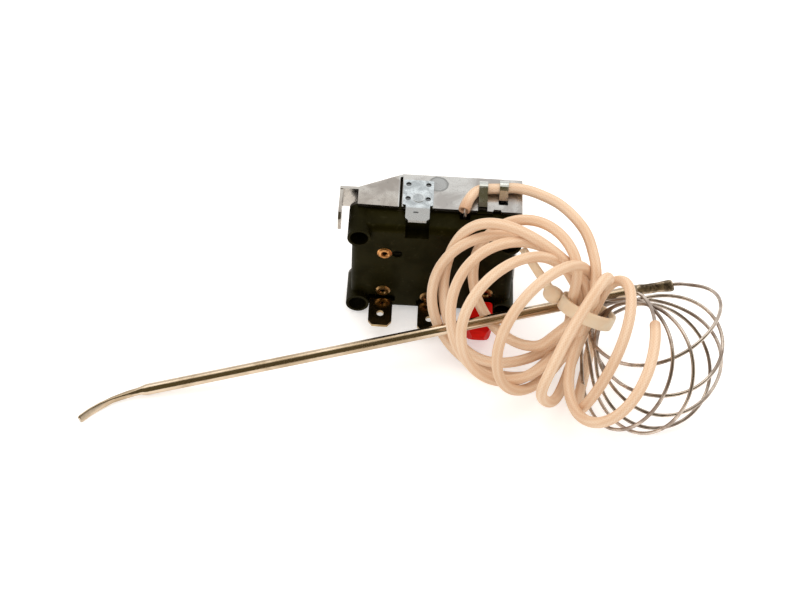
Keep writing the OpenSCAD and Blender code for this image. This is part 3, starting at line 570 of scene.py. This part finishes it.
def make_crimp():
    line = unit(BULB_END - BULB_B)
    span = np.linalg.norm(BULB_END - BULB_B)
    across, towards_eye = facing(line)
    return loft("bulb_crimp", [
        (BULB_B + line * span * share + across * aside, across, towards_eye, half_w, half_t, power)
        for share, half_w, half_t, aside, power in CRIMP_SECTIONS], BULB_SIDES)


bulb = make_bulb_tube()
crimp = make_crimp()
for piece in (bulb, crimp):
    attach(piece, "housing")
    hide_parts("sensor_bulb")

# the bent root that joins the frame's wing to its flange, under the relief slit; it is painted near-black, the shade
# seen through the slit

# place along the slit, and how much lower and thinner the root is there
WING_ROOT_ROWS = [(7.7, 0.25), (8.2, 0.05), (12, 0.0), (16, 0.0), (19.6, 0.0), (20.2, 0.1)]
WING_ROOT_X, WING_ROOT_Y, WING_ROOT_Z = -9.3, 8, 32.3
WING_ROOT_SLANT = 0.045
WING_ROOT_HALF_W, WING_ROOT_HALF_T = 0.85, 0.4
# a flat strip's points round a section, and its squareness
STRIP_SIDES, STRIP_SQUARE = 16, 4


def make_wing_root():
    return loft("wing_root", [
        (np.array([WING_ROOT_X - WING_ROOT_SLANT * (y - WING_ROOT_Y), y, WING_ROOT_Z - drop]),
         np.array([1.0, 0, 0]), np.array([0, 0, 1.0]), WING_ROOT_HALF_W, WING_ROOT_HALF_T - drop, STRIP_SQUARE)
        for y, drop in WING_ROOT_ROWS], STRIP_SIDES)


wing_root = make_wing_root()
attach(wing_root, "housing")

# cable tie

TIE_THICK, TIE_WIDE = 1.1, 3.6
TIE_HEAD = np.array([31.4, -10.6, 24.0])
TIE_TAIL_END = np.array([22.6, -4.6, 34.2])
STRAP_SPANS = 64
STRAP_SQUARE = 5
HEAD_SIDES = 24
# the strap's loop starts and ends so many degrees from the head's middle
STRAP_START = 14
# the head: place along it, half width, half thickness, squareness
HEAD_SECTIONS = [(-2.4, 1.3, 1.2, 2.4), (-2.0, 2.1, 1.8, 2.3), (-1.0, 2.5, 2.15, 2.2), (0.4, 2.6, 2.25, 2.2),
                 (1.6, 2.3, 2.0, 2.2), (2.2, 1.6, 1.4, 2.2)]
# the strap's free end: distance from the head, half width, half thickness; the last one is at its end
FREE_END_SECTIONS = [(0, 1.25, 0.5), (4, 1.25, 0.5), (8, 1.2, 0.5)]
FREE_END_HALF_W, FREE_END_HALF_T = 1.0, 0.45


def make_tie():
    toward = TIE_HEAD - TIE
    toward = unit(toward - TIE_AXIS * (toward @ TIE_AXIS))
    side = np.cross(TIE_AXIS, toward)
    r = TIE_INNER_R + TIE_THICK / 2
    loop = []
    for k in range(STRAP_SPANS + 1):
        a = math.radians(STRAP_START) + math.radians(360 - 2 * STRAP_START) * k / STRAP_SPANS
        out = math.cos(a) * toward + math.sin(a) * side
        loop.append((TIE + r * out, TIE_AXIS, out, TIE_WIDE / 2, TIE_THICK / 2, STRAP_SQUARE))
    strap = loft("tie_strap", loop, STRIP_SIDES)
    # the head is a rounded block, seen almost end on
    along = unit(toward * 0.5 + side * 0.2 - FORWARD * 0.8)
    a = unit(np.cross(along, TIE_AXIS))
    b = np.cross(along, a)
    head = loft("tie_head", [(TIE_HEAD + along * at, a, b, half_w, half_t, power)
                             for at, half_w, half_t, power in HEAD_SECTIONS], HEAD_SIDES)
    along = unit(TIE_TAIL_END - TIE_HEAD)
    a = unit(np.cross(along, [0, 1, 0]))
    b = np.cross(a, along)
    tail = loft("tie_tail", [(TIE_HEAD + along * at, a, b, half_w, half_t, STRIP_SQUARE)
                             for at, half_w, half_t in FREE_END_SECTIONS]
                + [(TIE_TAIL_END, a, b, FREE_END_HALF_W, FREE_END_HALF_T, STRIP_SQUARE)], STRIP_SIDES)
    for piece in (strap, head, tail):
        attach(piece, "housing")
        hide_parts("cable_tie")
    return strap, head, tail


tie_pieces = make_tie()

# materials


def add(tree, kind, settings=None, links=None, values=None):
    """A node with its settings, its linked sockets and its plain values."""
    node = tree.nodes.new(kind)
    for key, value in (settings or {}).items():
        setattr(node, key, value)
    for key, value in (values or {}).items():
        node.inputs[key].default_value = value
    for key, source in (links or {}).items():
        tree.links.new(source, node.inputs[key])
    return node


def feed(tree, socket, value):
    """Gives a socket a plain number, a plain colour or another node's output."""
    if isinstance(value, (int, float)):
        socket.default_value = value
    elif isinstance(value, tuple):
        socket.default_value = (*value, 1)
    else:
        tree.links.new(value, socket)


def noise(tree, where, scale, detail=3.0, roughness=0.5, distortion=0.0):
    """Noise whose scale is a number or a socket."""
    node = add(tree, "ShaderNodeTexNoise", links={"Vector": where},
               values={"Detail": detail, "Roughness": roughness, "Distortion": distortion})
    feed(tree, node.inputs["Scale"], scale)
    return node.outputs["Fac"]


def fit_range(tree, source, low, high, to_low=0.0, to_high=1.0):
    """The source's low to high as to_low to to_high, smoothly and no further; the last two may be sockets."""
    node = add(tree, "ShaderNodeMapRange", {"interpolation_type": "SMOOTHSTEP"}, {"Value": source},
               {"From Min": low, "From Max": high})
    feed(tree, node.inputs["To Min"], to_low)
    feed(tree, node.inputs["To Max"], to_high)
    return node.outputs["Result"]


def mixed(tree, share, a, b, mode="MIX"):
    """Two colours by a share; each colour is a socket or a plain colour."""
    node = add(tree, "ShaderNodeMix", {"data_type": "RGBA", "blend_type": mode})
    # the sockets of a colour mix, by their place: 0 is the factor, 6 and 7 the two colours
    for at, value in ((0, share), (6, a), (7, b)):
        feed(tree, node.inputs[at], value)
    return node.outputs[2]


def maths(tree, operation, a, b=None):
    node = add(tree, "ShaderNodeMath", {"operation": operation})
    feed(tree, node.inputs[0], a)
    if b is not None:
        feed(tree, node.inputs[1], b)
    return node.outputs["Value"]


def object_space(tree):
    return add(tree, "ShaderNodeTexCoord").outputs["Object"]


def split_xyz(tree, vector):
    return add(tree, "ShaderNodeSeparateXYZ", links={"Vector": vector}).outputs


def group_of(name, inputs, outputs):
    """An empty node group with named sockets: its tree, its given values and its outputs."""
    tree = bpy.data.node_groups.new(name, "ShaderNodeTree")
    for label, value in inputs:
        kind = "NodeSocketColor" if isinstance(value, tuple) else "NodeSocketFloat"
        tree.interface.new_socket(label, in_out="INPUT", socket_type=kind).default_value = value
    for label, kind in outputs:
        tree.interface.new_socket(label, in_out="OUTPUT", socket_type=kind)
    return tree, tree.nodes.new("NodeGroupInput").outputs, tree.nodes.new("NodeGroupOutput").inputs


# where the noises turn from dark to light, and how much finer the specks are than the patches
PATCH_EDGES, SPECK_EDGES, SPECKS_FINER = (0.36, 0.64), (0.6, 0.72), 6.0
# a disc's rim starts and its edge ends at these shares of its radius; the noise makes the edge uneven
RIM_START, EDGE_END = 0.8, 1.12
UNEVEN_SCALE, UNEVENNESS = 900.0, 0.12


def make_patches():
    """Cloudy patches between two colours and two roughnesses, small specks, and a fine grain as height."""
    tree, given, out = group_of("patches", (
        ("Dark", (0.2, 0.2, 0.2, 1.0)), ("Light", (0.8, 0.8, 0.8, 1.0)), ("Speck", (0.1, 0.1, 0.1, 1.0)),
        ("Speck Share", 0.1), ("Patch Scale", 200.0), ("Grain Scale", 5000.0), ("Rough Low", 0.3),
        ("Rough High", 0.5)), (
        ("Color", "NodeSocketColor"), ("Roughness", "NodeSocketFloat"), ("Height", "NodeSocketFloat")))
    where = object_space(tree)
    cloud = noise(tree, where, given["Patch Scale"], 5, 0.6, 0.6)
    share = fit_range(tree, cloud, *PATCH_EDGES)
    colour = mixed(tree, share, given["Dark"], given["Light"])
    fine_cloud = noise(tree, where, maths(tree, "MULTIPLY", given["Patch Scale"], SPECKS_FINER), 3, 0.6)
    specks = maths(tree, "MULTIPLY", fit_range(tree, fine_cloud, *SPECK_EDGES), given["Speck Share"])
    colour = mixed(tree, specks, colour, given["Speck"])
    grain = noise(tree, where, given["Grain Scale"], 2)
    # roughness follows the patches most and the grain a little
    both = maths(tree, "ADD", maths(tree, "MULTIPLY", share, 0.7), maths(tree, "MULTIPLY", grain, 0.3))
    rough = fit_range(tree, both, 0.0, 1.0, given["Rough High"], given["Rough Low"])
    for key, source in (("Color", colour), ("Roughness", rough), ("Height", grain)):
        tree.links.new(source, out[key])
    return tree


def make_disc():
    """Where the surface is inside a disc of the x-y plane with a slightly uneven edge, and where it is on its rim."""
    tree, given, out = group_of("disc", (("X", 0.0), ("Y", 0.0), ("Radius", 0.003)), (
        ("Inside", "NodeSocketFloat"), ("Rim", "NodeSocketFloat")))
    where = object_space(tree)
    at = add(tree, "ShaderNodeCombineXYZ", links={"X": given["X"], "Y": given["Y"]}).outputs["Vector"]
    flat = add(tree, "ShaderNodeVectorMath", {"operation": "MULTIPLY"}, {0: where}, {1: (1, 1, 0)})
    far = add(tree, "ShaderNodeVectorMath", {"operation": "DISTANCE"}, {0: flat.outputs["Vector"], 1: at})
    share = maths(tree, "DIVIDE", far.outputs["Value"], given["Radius"])
    wobble = maths(tree, "MULTIPLY", noise(tree, where, UNEVEN_SCALE, 3), UNEVENNESS)
    uneven = maths(tree, "ADD", share, wobble)
    inside = fit_range(tree, uneven, 1.0, EDGE_END, 1.0, 0.0)
    tree.links.new(inside, out["Inside"])
    tree.links.new(maths(tree, "MULTIPLY", inside, fit_range(tree, uneven, RIM_START, 1.0)), out["Rim"])
    return tree


PATCHES = make_patches()
DISC = make_disc()
GRAIN_SCALE = 5000.0
GRAIN_STRENGTH = 0.3
# in metres
GRAIN_HEIGHT = 0.00003


def material(name, colour, roughness, metallic=0.0, specular=0.5):
    """A new material with its node tree and its shader."""
    made = bpy.data.materials.new(name)
    made.use_nodes = True
    shader = made.node_tree.nodes["Principled BSDF"]
    shader.inputs["Base Color"].default_value = (*colour, 1)
    shader.inputs["Roughness"].default_value = roughness
    shader.inputs["Metallic"].default_value = metallic
    shader.inputs["Specular IOR Level"].default_value = specular
    return made, made.node_tree, shader


def bump(tree, shader, source, strength, distance):
    node = add(tree, "ShaderNodeBump", links={"Height": source}, values={"Strength": strength, "Distance": distance})
    tree.links.new(node.outputs["Normal"], shader.inputs["Normal"])


def patchy(name, dark, light, rough, patch=200.0, metallic=0.0, specular=0.5, speck=None, speck_share=0.15,
           grain_height=GRAIN_HEIGHT, tint=None):
    """A surface with cloudy patches. tint is called with the tree and the colour and returns a colour."""
    rough_low, rough_high = rough
    made, tree, shader = material(name, light, rough_low, metallic, specular)
    cloud = add(tree, "ShaderNodeGroup", {"node_tree": PATCHES}, values={
        "Dark": (*dark, 1), "Light": (*light, 1), "Speck": (*(speck or dark), 1), "Speck Share": speck_share,
        "Patch Scale": patch, "Grain Scale": GRAIN_SCALE, "Rough Low": rough_low, "Rough High": rough_high})
    colour = cloud.outputs["Color"]
    if tint:
        colour = tint(tree, colour)
    tree.links.new(colour, shader.inputs["Base Color"])
    tree.links.new(cloud.outputs["Roughness"], shader.inputs["Roughness"])
    bump(tree, shader, cloud.outputs["Height"], GRAIN_STRENGTH, grain_height)
    return made


def metal(name, dark, light, rough, **more):
    return patchy(name, dark, light, rough, metallic=1.0, **more)


def disc(tree, x, y, radius):
    """A disc at a place of the source's drawing."""
    at = to_frame([x, y, 0])
    return add(tree, "ShaderNodeGroup", {"node_tree": DISC}, values={
        "X": float(at[0]), "Y": float(at[1]), "Radius": radius * MM}).outputs


def marked(tree, mask, amount, colour, mark):
    """The colour with a mark in another colour where the mask is, by an amount."""
    return mixed(tree, maths(tree, "MULTIPLY", mask, amount), colour, mark)


def fades(tree, socket, axis, low, high, to_low, to_high):
    """A value that goes from to_low to to_high between two places along an axis of the source's drawing."""
    low, high = ((value + PLACE[axis]) * MM for value in (low, high))
    return fit_range(tree, socket, low, high, to_low, to_high)


# the round marks of the sheet pieces: x, y and radius
FRAME_STAIN = 0.4, 17.4, 2.7
DIMPLE_XS, DIMPLE_YS, DIMPLE_R = (-7.44, -2.16), (10.9, 16.1), 0.75
PLATE_RING = -4.8, 11.2, 1.7
SLOT_XS, SLOT_Y, SLOT_R = (-5.6, -5.2, -4.8), 5.9, 0.3

STAIN_GREY = (0.30, 0.31, 0.31)
STAIN_RIM_GREY = (0.16, 0.16, 0.15)
# painted dark reflection of the frame's hooks
HOOK_REFLECTION_GREY = (0.57, 0.58, 0.54)
# painted shade of the frame's bent wing
WING_SHADE_BROWN = (0.82, 0.77, 0.72)
# painted shade in the earth plate's dimples
DIMPLE_SHADE_BLACK = (0.10, 0.10, 0.10)
RING_PALE = (0.85, 0.87, 0.87)
# painted shade on the earth plate's bent-down tab
TAB_SHADE_GREY = (0.38, 0.37, 0.35)
# painted shade: the tab's slot drawn near-black
SLOT_SHADE_BLACK = (0.05, 0.05, 0.05)
# the darker, browner copper of the eyelets towards the bottom
LOW_EYELET_COPPER = (0.30, 0.20, 0.09)


def frame_tint(tree, colour):
    """The frame's stain by the earth plate, a painted dark reflection on its hooks and painted shade on its wing."""
    stain = disc(tree, *FRAME_STAIN)
    colour = marked(tree, stain["Inside"], 0.6, colour, STAIN_GREY)
    colour = marked(tree, stain["Rim"], 0.6, colour, STAIN_RIM_GREY)
    at = split_xyz(tree, object_space(tree))
    # painted dark reflection on the hooks, where they rise above the flange
    colour = mixed(tree, fades(tree, at["Z"], 2, 34.6, 35.0, 0.0, 1.0), colour, HOOK_REFLECTION_GREY)
    # painted shade on the wing, strongest at its near end
    wing = fades(tree, at["X"], 0, -10.2, -9.9, 1.0, 0.0)
    near = fades(tree, at["Y"], 1, 8, 15, 1.0, 0.7)
    return mixed(tree, maths(tree, "MULTIPLY", wing, near), colour, WING_SHADE_BROWN, "MULTIPLY")


def earth_tint(tree, colour):
    """The earth plate's dimples in painted shade, its middle ring, painted shade on its tab, and the tab's short slot
    painted near-black as the shade seen through it.
    """
    # painted shade in the dimples
    for x in DIMPLE_XS:
        for y in DIMPLE_YS:
            colour = marked(tree, disc(tree, x, y, DIMPLE_R)["Inside"], 0.85, colour, DIMPLE_SHADE_BLACK)
    ring = disc(tree, *PLATE_RING)
    colour = marked(tree, ring["Inside"], 0.4, colour, STAIN_GREY)
    colour = marked(tree, ring["Rim"], 0.6, colour, RING_PALE)
    at = split_xyz(tree, object_space(tree))
    # painted shade on the tab
    colour = mixed(tree, fades(tree, at["Y"], 1, 7.3, 7.9, 0.85, 0.0), colour, TAB_SHADE_GREY)
    # the slot painted near-black, as the shade seen through it
    for x in SLOT_XS:
        colour = marked(tree, disc(tree, x, SLOT_Y, SLOT_R)["Inside"], 0.8, colour, SLOT_SHADE_BLACK)
    return colour


def eyelet_tint(tree, colour):
    """The upper eyelet keeps its copper; towards the bottom the eyelets are darker and browner."""
    at = split_xyz(tree, object_space(tree))
    return mixed(tree, fades(tree, at["Z"], 2, 10, 18, 0.75, 0.0), colour, LOW_EYELET_COPPER)


# the braid: strands round the tube and their slope for each mm, ribs and theirs, scales of its noises
YARNS_ROUND, YARN_SLOPE = 12.0, 0.95
RIBS_ROUND, RIB_SLOPE = 6.0, 0.012
YARN_PATCH_SCALE, FIBRE_SCALE = 70.0, 2600.0
# lengths in mm of the painted shade at the sleeve's frame end and of the browner tint at its far end
SHADE_SPAN_AT_FRAME, TINT_SPAN_AT_END = 5.0, 3.5
# in metres
BRAID_HEIGHT = 0.00012

YARN_CREAM = (0.90, 0.68, 0.48)
YARN_DARK, YARN_LIGHT = (0.83, 0.60, 0.42), (0.91, 0.71, 0.53)
# painted highlight and painted shade of the braid's ribs
RIB_HIGHLIGHT_PALE, RIB_SHADE = (0.97, 0.84, 0.68), (0.72, 0.46, 0.28)
# painted shade in the braid's grooves
GROOVE_SHADE_BROWN = (0.66, 0.40, 0.22)
# painted shade at the sleeve's frame end, and the browner tint of its far end
END_SHADE_AND_TINT_BROWN = (0.42, 0.17, 0.07)
FIBRE_BROWN = (0.75, 0.48, 0.29)


def braid_material():
    """Braided yarn: two sets of strands that cross, in the tube's own directions."""
    made, tree, shader = material("braid_cream", YARN_CREAM, 0.75, 0.0, 0.25)
    at = split_xyz(tree, add(tree, "ShaderNodeUVMap", {"uv_map": "along"}).outputs["UV"])

    def wave(round_count, slope):
        """A sine with so many crests round the tube, which turn along it."""
        both = maths(tree, "ADD", maths(tree, "MULTIPLY", at["X"], round_count),
                     maths(tree, "MULTIPLY", at["Y"], slope))
        return maths(tree, "SINE", maths(tree, "MULTIPLY", both, 2 * math.pi))

    woven = maths(tree, "MAXIMUM", wave(YARNS_ROUND, YARN_SLOPE), wave(YARNS_ROUND, -YARN_SLOPE))
    height = fit_range(tree, woven, -1.0, 1.0)
    where = object_space(tree)
    patches = fit_range(tree, noise(tree, where, YARN_PATCH_SCALE, 3), 0.35, 0.65)
    colour = mixed(tree, patches, YARN_DARK, YARN_LIGHT)
    # painted highlight on ribs along the tube, which turn slowly round it, and painted shade between them
    rib = wave(RIBS_ROUND, RIB_SLOPE)
    colour = mixed(tree, fit_range(tree, rib, 0.2, 1.0, 0.0, 0.35), colour, RIB_HIGHLIGHT_PALE)
    colour = mixed(tree, fit_range(tree, rib, -1.0, -0.3, 0.3, 0.0), colour, RIB_SHADE)
    # painted shade in the grooves
    colour = mixed(tree, fit_range(tree, height, 0.0, 0.8, 0.4, 0.0), colour, GROOVE_SHADE_BROWN)
    # painted shade where the sleeve goes in under the frame, and a browner tint at its far cut end
    end = float(from_start[-1])
    end_shade_and_tint = maths(tree, "MAXIMUM", fit_range(tree, at["Y"], 0.0, SHADE_SPAN_AT_FRAME, 0.55, 0.0),
                   fit_range(tree, at["Y"], end - TINT_SPAN_AT_END, end, 0.0, 0.3))
    colour = mixed(tree, end_shade_and_tint, colour, END_SHADE_AND_TINT_BROWN)
    fibres = noise(tree, where, FIBRE_SCALE, 3, 0.7)
    colour = mixed(tree, fit_range(tree, fibres, 0.35, 0.75, 0.25, 0.0), colour, FIBRE_BROWN)
    tree.links.new(colour, shader.inputs["Base Color"])
    bump(tree, shader, maths(tree, "ADD", height, maths(tree, "MULTIPLY", fibres, 0.6)), 0.45, BRAID_HEIGHT)
    return made


def nylon_material():
    """Pale nylon that lets some light through."""
    made = patchy("tie_nylon", (0.96, 0.78, 0.56), (0.99, 0.87, 0.68), rough=(0.35, 0.5), patch=150.0, specular=0.3)
    shader = made.node_tree.nodes["Principled BSDF"]
    shader.inputs["Transmission Weight"].default_value = 0.2
    shader.inputs["IOR"].default_value = 1.3
    return made


def moulding_material():
    """Dark olive-black phenolic moulding; its sheen is olive too."""
    made = patchy("moulding_black", (0.0036, 0.0028, 0.0005), (0.007, 0.0056, 0.0011), rough=(0.45, 0.62),
                  patch=130.0, specular=0.10, speck=(0.04, 0.036, 0.02), speck_share=0.25)
    made.node_tree.nodes["Principled BSDF"].inputs["Specular Tint"].default_value = (1.0, 0.88, 0.15, 1)
    return made


MATERIALS = {
    "moulding": moulding_material(),
    "cover_board": patchy("cover_brown", (0.03, 0.025, 0.018), (0.05, 0.04, 0.03), rough=(0.5, 0.6)),
    "zinc_sheet": metal("zinc_sheet", (0.38, 0.36, 0.34), (0.63, 0.62, 0.59), rough=(0.2, 0.36), patch=140.0,
                        speck=(0.26, 0.25, 0.24), speck_share=0.4, tint=frame_tint),
    "earth_sheet": metal("earth_sheet", (0.40, 0.43, 0.44), (0.74, 0.79, 0.80), rough=(0.16, 0.3), patch=480.0,
                         speck=(0.16, 0.17, 0.18), speck_share=0.7, tint=earth_tint),
    "bush_brass": metal("bush_brass", (0.62, 0.5, 0.28), (0.8, 0.68, 0.42), rough=(0.2, 0.3)),
    "spindle_steel": metal("spindle_steel", (0.5, 0.5, 0.48), (0.7, 0.7, 0.68), rough=(0.2, 0.3)),
    "clip_steel": metal("clip_steel", (0.1, 0.1, 0.1), (0.2, 0.2, 0.2), rough=(0.3, 0.4)),
    "capsule_steel": metal("capsule_steel", (0.5, 0.52, 0.54), (0.7, 0.72, 0.74), rough=(0.2, 0.3)),
    "pin_ceramic": patchy("pin_ceramic", (0.8, 0.78, 0.74), (0.88, 0.86, 0.82), rough=(0.15, 0.25)),
    "spring_copper": metal("spring_copper", (0.6, 0.4, 0.2), (0.79, 0.56, 0.32), rough=(0.25, 0.35)),
    "contact_silver": metal("contact_silver", (0.7, 0.7, 0.68), (0.88, 0.88, 0.86), rough=(0.15, 0.25),
                            patch=300.0),
    "terminal_metal": metal("terminal_metal", (0.24, 0.15, 0.06), (0.50, 0.38, 0.22), rough=(0.12, 0.25),
                            patch=150.0),
    "eyelet_copper": metal("eyelet_copper", (0.34, 0.14, 0.04), (0.78, 0.40, 0.15), rough=(0.22, 0.4),
                           patch=700.0, tint=eyelet_tint),
    "cap_red": patchy("cap_red", (0.74, 0.005, 0.002), (0.88, 0.010, 0.004), rough=(0.35, 0.5), specular=0.15),
    "capillary_metal": metal("capillary_metal", (0.27, 0.21, 0.17), (0.62, 0.53, 0.45), rough=(0.22, 0.38),
                             patch=110.0),
    "bulb_steel": metal("bulb_steel", (0.42, 0.32, 0.21), (0.64, 0.52, 0.39), rough=(0.16, 0.28), patch=60.0,
                        speck=(0.3, 0.24, 0.16), speck_share=0.3),
    "tie_nylon": nylon_material(),
    "braid": braid_material(),
}
# finishes of single pieces, which no slot of the record has: the crimp's dark metal, and painted shade on the root
# under the relief slit and on the calibration screw
CRIMP_DARK = metal("crimp_dark", (0.05, 0.035, 0.02), (0.58, 0.46, 0.33), rough=(0.28, 0.5), patch=420.0,
                   grain_height=0.00008)
# painted shade: the near-black of the root under the relief slit
SLIT_SHADE_DARK = patchy("slit_shade_dark", (0.010, 0.007, 0.002), (0.022, 0.016, 0.006), rough=(0.7, 0.9), patch=300.0,
                    specular=0.1)
# painted shade: the calibration screw drawn near-black as the dark hole it sits in
SCREW_HOLE_SHADE = patchy("screw_hole_shade", (0.004, 0.003, 0.001), (0.009, 0.007, 0.003), rough=(0.7, 0.85), patch=600.0,
                     specular=0.08)


def paint(obj, made):
    obj.data.materials.clear()
    obj.data.materials.append(made)


for sub in frame["record"]["subparts"]:
    paint(nodes[sub["node"]], MATERIALS[sub["material_slot"]])
paint(sleeve, MATERIALS["braid"])
paint(wire, MATERIALS["capillary_metal"])
paint(bulb, MATERIALS["bulb_steel"])
paint(crimp, CRIMP_DARK)
# the root is painted near-black as the shade seen through the slit
paint(wing_root, SLIT_SHADE_DARK)
# the screw is painted near-black as the shade of its hole
paint(nodes["calibration_screw"], SCREW_HOLE_SHADE)
for piece in tie_pieces:
    paint(piece, MATERIALS["tie_nylon"])

# how far the edges of the solid nodes are rounded
EDGE_WIDTHS = {
    "frame_bracket": 0.12, "earth_tab_plate": 0.1, "switch_base": 0.2, "tab_cap": 0.5, "terminal_common": 0.08,
    "terminal_break": 0.08, "terminal_make": 0.08, "eyelet_rivets": 0.06, "mounting_bush": 0.08,
    "adjuster_spindle": 0.08}
EDGE_SEGMENTS = 2
EDGE_ANGLE = math.radians(32)


def round_edges(name, width):
    modifier = nodes[name].modifiers.new("edge", "BEVEL")
    modifier.width = width * MM
    modifier.segments = EDGE_SEGMENTS
    modifier.limit_method = "ANGLE"
    modifier.angle_limit = EDGE_ANGLE
    modifier.use_clamp_overlap = True


for name, width in EDGE_WIDTHS.items():
    round_edges(name, width)

# stage

# in metres
TABLE_HALF = 3.0
TABLE_WHITE = (0.9, 0.9, 0.9)
# what the table adds where it is seen, so that it is white around the object's shadow
TABLE_GLOW = 0.4
ROOM_LIGHT, ROOM_STRENGTH = (1.0, 0.94, 0.88, 1), 0.95
# mirrors see a white room that is dark only in about this direction, near where the camera stands
DARK_DIRECTION = (0, -0.6, 0.8)
DARK_FROM, DARK_FULLY = 0.36, 0.64
DARK_COLOUR = (0.11, 0.09, 0.035)


def seen_directly(tree, amount):
    """So much for rays of the camera, of reflections and of clear pieces, and nothing for the others."""
    path = add(tree, "ShaderNodeLightPath").outputs
    shown = maths(tree, "MAXIMUM", path["Is Camera Ray"], path["Is Glossy Ray"])
    return maths(tree, "MULTIPLY", maths(tree, "MAXIMUM", shown, path["Is Transmission Ray"]), amount)


def make_table():
    s = TABLE_HALF
    mesh = bpy.data.meshes.new("table_top")
    mesh.from_pydata([(-s, -s, 0), (s, -s, 0), (s, s, 0), (-s, s, 0)], [], [(0, 1, 2, 3)])
    floor = bpy.data.objects.new("table_top", mesh)
    bpy.context.scene.collection.objects.link(floor)
    made, tree, shader = material("table_white", TABLE_WHITE, 0.9, 0.0, 0.0)
    glow = add(tree, "ShaderNodeEmission", {}, {"Strength": seen_directly(tree, TABLE_GLOW)},
               {"Color": (1, 1, 1, 1)})
    both = add(tree, "ShaderNodeAddShader", links={0: shader.outputs["BSDF"], 1: glow.outputs["Emission"]})
    tree.links.new(both.outputs["Shader"], tree.nodes["Material Output"].inputs["Surface"])
    paint(floor, made)


def make_room():
    """The world: warm light for the object, a room for mirrors, and white for the camera and clear pieces."""
    world = bpy.data.worlds.new("room")
    bpy.context.scene.world = world
    world.use_nodes = True
    tree = world.node_tree
    light = tree.nodes["Background"]
    light.inputs["Color"].default_value = ROOM_LIGHT
    light.inputs["Strength"].default_value = ROOM_STRENGTH
    white = add(tree, "ShaderNodeBackground", values={"Color": (1, 1, 1, 1), "Strength": 1.0})
    path = add(tree, "ShaderNodeLightPath").outputs
    sky = add(tree, "ShaderNodeTexCoord").outputs["Generated"]
    toward = add(tree, "ShaderNodeVectorMath", {"operation": "DOT_PRODUCT"}, {0: sky}, {1: DARK_DIRECTION})
    dark = fit_range(tree, toward.outputs["Value"], DARK_FROM, DARK_FULLY)
    mirrored = add(tree, "ShaderNodeBackground", links={"Color": mixed(tree, dark, (1, 1, 1), DARK_COLOUR)})
    unseen = add(tree, "ShaderNodeMixShader", links={
        0: path["Is Glossy Ray"], 1: light.outputs[0], 2: mirrored.outputs[0]})
    seen = maths(tree, "MAXIMUM", path["Is Camera Ray"], path["Is Transmission Ray"])
    mix = add(tree, "ShaderNodeMixShader", links={0: seen, 1: unseen.outputs[0], 2: white.outputs[0]})
    tree.links.new(mix.outputs[0], tree.nodes["World Output"].inputs["Surface"])


def area_light(name, at, target, size, power, colour):
    """A lamp in metres and watts that faces its target."""
    data = bpy.data.lights.new(name, "AREA")
    data.shape = "RECTANGLE"
    data.size, data.size_y = size
    data.energy = power
    data.color = colour
    obj = bpy.data.objects.new(name, data)
    bpy.context.scene.collection.objects.link(obj)
    obj.location = Vector(at)
    obj.rotation_mode = "QUATERNION"
    obj.rotation_quaternion = (Vector(target) - Vector(at)).to_track_quat("-Z", "Y")


make_table()
make_room()
area_light("lamp_over", at=(0.0, 0.25, 0.9), target=(0, 0, 0), size=(0.9, 0.6), power=2.3, colour=(1, 0.99, 0.97))
area_light("lamp_left", at=(-0.8, -0.3, 0.5), target=(0, 0, 0.01), size=(0.4, 0.4), power=0.5,
           colour=(1, 0.98, 0.95))
bpy.context.scene.view_settings.view_transform = "Standard"
